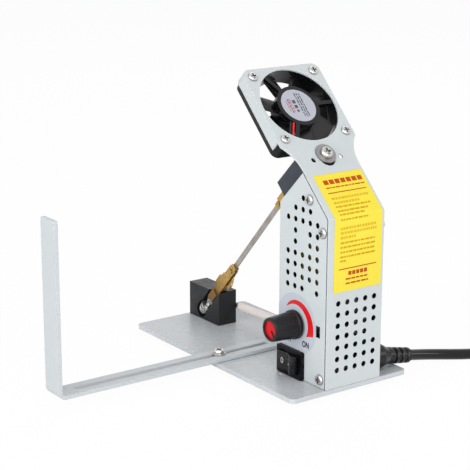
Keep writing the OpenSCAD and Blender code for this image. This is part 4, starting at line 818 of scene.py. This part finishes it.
def word_piece(name, word, size, place, finish, body):
    """Flat lettering made into a thin closed mesh."""
    data = bpy.data.curves.new(name, "FONT")
    data.body = word
    data.size = size
    data.align_x = "CENTER"
    data.extrude = INK_T / 2
    data.offset = size / 34
    data.resolution_u = 3
    holder = bpy.data.objects.new(name + "_curve", data)
    scene.collection.objects.link(holder)
    mesh = bpy.data.meshes.new_from_object(holder.evaluated_get(bpy.context.evaluated_depsgraph_get()))
    bpy.data.objects.remove(holder)
    mesh.name = name
    mesh.transform(place @ Matrix.Translation((0, 0, INK_T / 2)))
    bm = bmesh.new()
    bm.from_mesh(mesh)
    bmesh.ops.remove_doubles(bm, verts=bm.verts, dist=0.000001)
    bmesh.ops.recalc_face_normals(bm, faces=bm.faces)
    bm.to_mesh(mesh)
    bm.free()
    piece = bpy.data.objects.new(name, mesh)
    scene.collection.objects.link(piece)
    dress(piece, finish)
    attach(piece, body)


ink_piece("dial_crescent", [crescent_outline()], dial_place, INK["crescent_red"], "base")
WORD_SIZE = 4.6 * MM
WORD_Y = -10.75 * MM
NARROW = Matrix.Diagonal((0.78, 1, 1, 1))
for word, x in (("ON", 8.35), ("OFF", -6.3)):
    word_place = dial_place @ Matrix.Translation((x * MM, WORD_Y, 0)) @ NARROW
    word_piece("dial_" + word.lower(), word, WORD_SIZE, word_place, INK["dial_black"], "base")

# dark wedge along the notch of the cap: painted shade in the notch
CAP_Y = min(corner.co.y for corner in node["knob_cap"].data.vertices)
POINTER_TURN = math.radians(-50)
cap_place = frame_at((KNOB_X, CAP_Y, KNOB_Z), (math.cos(POINTER_TURN), 0, math.sin(POINTER_TURN)),
                     (-math.sin(POINTER_TURN), 0, math.cos(POINTER_TURN)))
POINTER_R = (0.8 * MM, 4.4 * MM)
POINTER_HALF = (0.25 * MM, 0.8 * MM)
notch_wedge = [(POINTER_R[0], -POINTER_HALF[0]), (POINTER_R[1], -POINTER_HALF[1]), (POINTER_R[1], POINTER_HALF[1]),
           (POINTER_R[0], POINTER_HALF[0])]
ink_piece("cap_notch_shade", [notch_wedge], cap_place, INK["dial_black"], "knob")

# rocker with rounded edges and the marks on its two halves
ROCKER_PIVOT = Vector((45.35, 26.55, 13.3)) * MM
ROCKER_HALF = 7.3 * MM
ROCKER_HIGH = 9.8 * MM
ROCKER_RISE = 5.8 * MM
ROCKER_DIP = 3.1 * MM
ROCKER_EAVE = 0.5 * MM
ROCKER_TAPER = 3.0 * MM
ROCKER_BACK = 3.5 * MM
ROCKER_TILT = math.radians(-10)
ROCKER_ROUND = 0.35 * MM


def rocker_paddle():
    """Paddle whose face dips in the middle, tilted as it rests."""
    half = ROCKER_HALF
    profile = [(-half, -ROCKER_RISE), (0, -ROCKER_DIP), (half, -ROCKER_RISE), (half, -ROCKER_EAVE),
               (half - ROCKER_TAPER, ROCKER_BACK), (ROCKER_TAPER - half, ROCKER_BACK), (-half, -ROCKER_EAVE)]
    mesh = bpy.data.meshes.new("rocker_paddle")
    bm = bmesh.new()
    face = bm.faces.new([bm.verts.new((x, y, -ROCKER_HIGH / 2)) for x, y in profile])
    made = bmesh.ops.extrude_face_region(bm, geom=[face])
    lifted = [part for part in made["geom"] if isinstance(part, bmesh.types.BMVert)]
    bmesh.ops.translate(bm, verts=lifted, vec=(0, 0, ROCKER_HIGH))
    bmesh.ops.recalc_face_normals(bm, faces=bm.faces)
    bmesh.ops.bevel(bm, geom=bm.edges[:], offset=ROCKER_ROUND, segments=3, profile=0.5, affect="EDGES")
    bm.to_mesh(mesh)
    bm.free()
    mesh.transform(Matrix.Translation(ROCKER_PIVOT) @ Matrix.Rotation(ROCKER_TILT, 4, "Z"))
    mesh.shade_smooth()
    piece = bpy.data.objects.new("rocker_paddle", mesh)
    scene.collection.objects.link(piece)
    dress(piece, FINISHES["black_plastic"])
    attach(piece, "rocker")
    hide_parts("switch_rocker")


def rocker_place(side):
    """Flat place in the middle of one half of the rocker."""
    turn = Matrix.Rotation(ROCKER_TILT, 3, "Z")
    valley = Vector((0, -ROCKER_DIP, 0))
    tip = Vector((side * ROCKER_HALF, -ROCKER_RISE, 0))
    right = turn @ ((tip - valley) * side)
    middle = ROCKER_PIVOT + turn @ ((tip + valley) / 2)
    return frame_at(middle, right, (0, 0, 1))


rocker_paddle()
ink_piece("rocker_off_ring", ring_quads(0.85 * MM, 1.6 * MM, 0.3 * MM), rocker_place(-1), INK["switch_white"],
          "rocker")
ink_piece("rocker_on_bar", [bar(-1.3, -0.22, 1.3, 0.22)], rocker_place(1), INK["switch_white"], "rocker")

# plain bars on the sticker, as stand-ins for lines of small print
STICKER_T = 0.2 * MM
STICKER_Y = 29.65 * MM
STICKER_LOW = 57.2 * MM
upright_place = frame_at((HOUSE_X1 + STICKER_T, STICKER_Y, STICKER_LOW), (0, 1, 0), (0, 0, 1))
slope_place = frame_at(roof_point(STICKER_Y, 0, STICKER_T), ALONG, UPHILL)


rng = random.Random(7)


def word_bars(x0, x1, y, high, longest):
    """A line of bars as long as words, in millimetres."""
    bars = []
    x = x0
    while x < x1 - 0.6:
        end = min(x + rng.uniform(0.9, longest), x1)
        bars.append(bar(x, y - high / 2, end, y + high / 2))
        x = end + rng.uniform(0.35, 0.6)
    return bars


# rows of the sticker in millimetres: height up the sheet and right end, for words and for denser signs
ROW_X = 3.9
WORD_HIGH = 0.95
WORD_LONGEST = 3.2
GLYPH_HIGH = 1.35
GLYPH_LONGEST = 1.9
UPRIGHT_WORDS = [(16.3, 7.5), (18.4, 27.4), (20.9, 27.3), (23.4, 27.2), (25.8, 26.7), (37.9, 21.7)]
UPRIGHT_GLYPHS = [(28.5, 14.1), (31.0, 27.5), (33.3, 27.4)]
SLOPE_WORDS = [(1.2, 20), (3.4, 24.3), (5.9, 26.8)]
SLOPE_GLYPHS = [(8.3, 20.8), (10.9, 27.8)]


def rows(lines, high, longest):
    bars = []
    for y, right in lines:
        bars += word_bars(ROW_X, right, y, high, longest)
    return bars


def blocks(count, x, step, wide, low, high):
    """A row of even blocks."""
    return [bar(x + i * step, low, x + i * step + wide, high) for i in range(count)]


for name, words, glyphs, place in (("upright", UPRIGHT_WORDS, UPRIGHT_GLYPHS, upright_place),
                                   ("slope", SLOPE_WORDS, SLOPE_GLYPHS, slope_place)):
    ink_piece("sticker_text_" + name, rows(words, WORD_HIGH, WORD_LONGEST), place, INK["sticker_brown"], "base")
    ink_piece("sticker_block_" + name, rows(glyphs, GLYPH_HIGH, GLYPH_LONGEST), place, INK["sticker_ochre"],
              "base")
# heading and footing in millimetres: blocks by count, first place, step, width, low and high; a rule by its
# corners; lines by their ends, height, thickness and longest bar
HEAD_BLOCKS = (7, 4.1, 3.7, 3.0, 19.4, 22.1)
HEAD_RULE = (3.5, 14.0, 28.7, 14.55)
HEAD_LINES = [(4.0, 29.3, 17.4, 0.7, 4.0)]
FOOT_BLOCKS = (5, 9.4, 2.6, 2.1, 8.3, 10.4)
FOOT_RULE = (3.1, 11.75, 28.0, 12.3)
FOOT_LINES = [(7.7, 23.1, 6.4, 0.85, 3.6), (7.8, 23.5, 4.05, 0.85, 3.6)]
for name, even, rule, lines, place in (("heading", HEAD_BLOCKS, HEAD_RULE, HEAD_LINES, slope_place),
                                       ("footing", FOOT_BLOCKS, FOOT_RULE, FOOT_LINES, upright_place)):
    bars = blocks(*even) + [bar(*rule)]
    for line in lines:
        bars += word_bars(*line)
    ink_piece("sticker_" + name, bars, place, INK["sticker_red"], "base")

# the fan's round sticker: lines of bars that run down the slope
FOIL_T = 0.15 * MM
foil_place = frame_at(roof_point(FAN_Y, FAN_S, FOIL_T - SHEET_T), -UPHILL, ALONG)
FOIL_R = 9.2


# lines on the round sticker in millimetres: heights, thickness, longest bar and share of the width
FOIL_FINE = ((3.6, 2.2, 0.8), 0.7, 3.4, 0.85)
FOIL_SHORT = ((-5.2,), 0.6, 2.0, 0.6)
FOIL_RED = ((-4.1, -6.5), 0.6, 2.0, 0.55)
FOIL_BLOCKS = [(-3.6, -2.9, -1.4, -0.9), (-0.4, -2.9, 1.6, -0.9), (2.6, -2.6, 4.0, -1.2)]


def foil_rows(heights, high, longest, reach):
    bars = []
    for y in heights:
        half = math.sqrt(FOIL_R ** 2 - y * y) * reach
        bars += word_bars(-half, half, y, high, longest)
    return bars


foil_lines = foil_rows(*FOIL_FINE) + foil_rows(*FOIL_SHORT) + [bar(*corners) for corners in FOIL_BLOCKS]
ink_piece("foil_text_grey", foil_lines, foil_place, INK["foil_grey"], "base")
ink_piece("foil_text_red", foil_rows(*FOIL_RED), foil_place, INK["foil_red"], "base")


# studio: pale floor, white surroundings, soft lamps
FLOOR_HALF = 3.0
FLOOR_GLOW = 0.96
SOFT_GLOW = 0.3


def plain_rays(tree):
    """1 for rays that come from the camera, a reflection or a clear piece, 0 for scattered ones."""
    seen = add(tree, "LightPath")
    some = math_node(tree, "MAXIMUM", seen.outputs["Is Camera Ray"], seen.outputs["Is Glossy Ray"])
    return math_node(tree, "MAXIMUM", some, seen.outputs["Is Transmission Ray"])


def make_floor():
    mesh = bpy.data.meshes.new("studio_floor")
    corners = [(x * FLOOR_HALF, y * FLOOR_HALF, 0) for x, y in ((-1, -1), (1, -1), (1, 1), (-1, 1))]
    mesh.from_pydata(corners, [], [(0, 1, 2, 3)])
    floor = bpy.data.objects.new("studio_floor", mesh)
    scene.collection.objects.link(floor)
    finish, tree, shader = new_finish("floor_white")
    shader.inputs["Base Color"].default_value = (0.86, 0.86, 0.86, 1)
    shader.inputs["Roughness"].default_value = 0.9
    glow = add(tree, "Emission")
    glow.inputs["Color"].default_value = (1, 1, 1, 1)
    glow.inputs["Strength"].default_value = 1.0
    share = math_node(tree, "MULTIPLY", plain_rays(tree), FLOOR_GLOW)
    blend = add(tree, "MixShader")
    tree.links.new(share, blend.inputs[0])
    tree.links.new(shader.outputs[0], blend.inputs[1])
    tree.links.new(glow.outputs[0], blend.inputs[2])
    tree.links.new(blend.outputs[0], tree.nodes["Material Output"].inputs["Surface"])
    dress(floor, finish)


def make_world():
    world = bpy.data.worlds.new("studio_white")
    scene.world = world
    world.use_nodes = True
    tree = world.node_tree
    back = tree.nodes["Background"]
    back.inputs["Color"].default_value = (1, 1, 1, 1)
    plain = plain_rays(tree)
    soft = math_node(tree, "MULTIPLY", math_node(tree, "SUBTRACT", 1.0, plain), SOFT_GLOW)
    tree.links.new(math_node(tree, "ADD", plain, soft), back.inputs["Strength"])


# lamps in metres and watts: place, width, height, power
LIT_POINT = Vector((0.0, 0.04, 0.06))
LAMPS = {
    "key_lamp": ((1.0, -0.45, 0.5), 0.9, 0.9, 10.0),
    "fill_lamp": ((0.1, -1.2, 0.5), 0.9, 0.9, 9.2),
    "top_lamp": ((0.2, 0.1, 1.3), 0.9, 0.9, 2.5),
    "back_lamp": ((-0.7, 0.7, 0.9), 0.7, 0.7, 4.0),
    "rim_lamp": ((0.95, 0.97, 0.45), 0.8, 0.16, 2.2),
}


def make_lamp(name, at, wide, high, power):
    data = bpy.data.lights.new(name, "AREA")
    data.shape = "RECTANGLE"
    data.size = wide
    data.size_y = high
    data.energy = power
    lamp = bpy.data.objects.new(name, data)
    lamp.location = at
    lamp.rotation_euler = (LIT_POINT - Vector(at)).to_track_quat("-Z", "Y").to_euler()
    scene.collection.objects.link(lamp)


make_floor()
make_world()
for name, settings in LAMPS.items():
    make_lamp(name, *settings)
scene.view_settings.view_transform = "Standard"
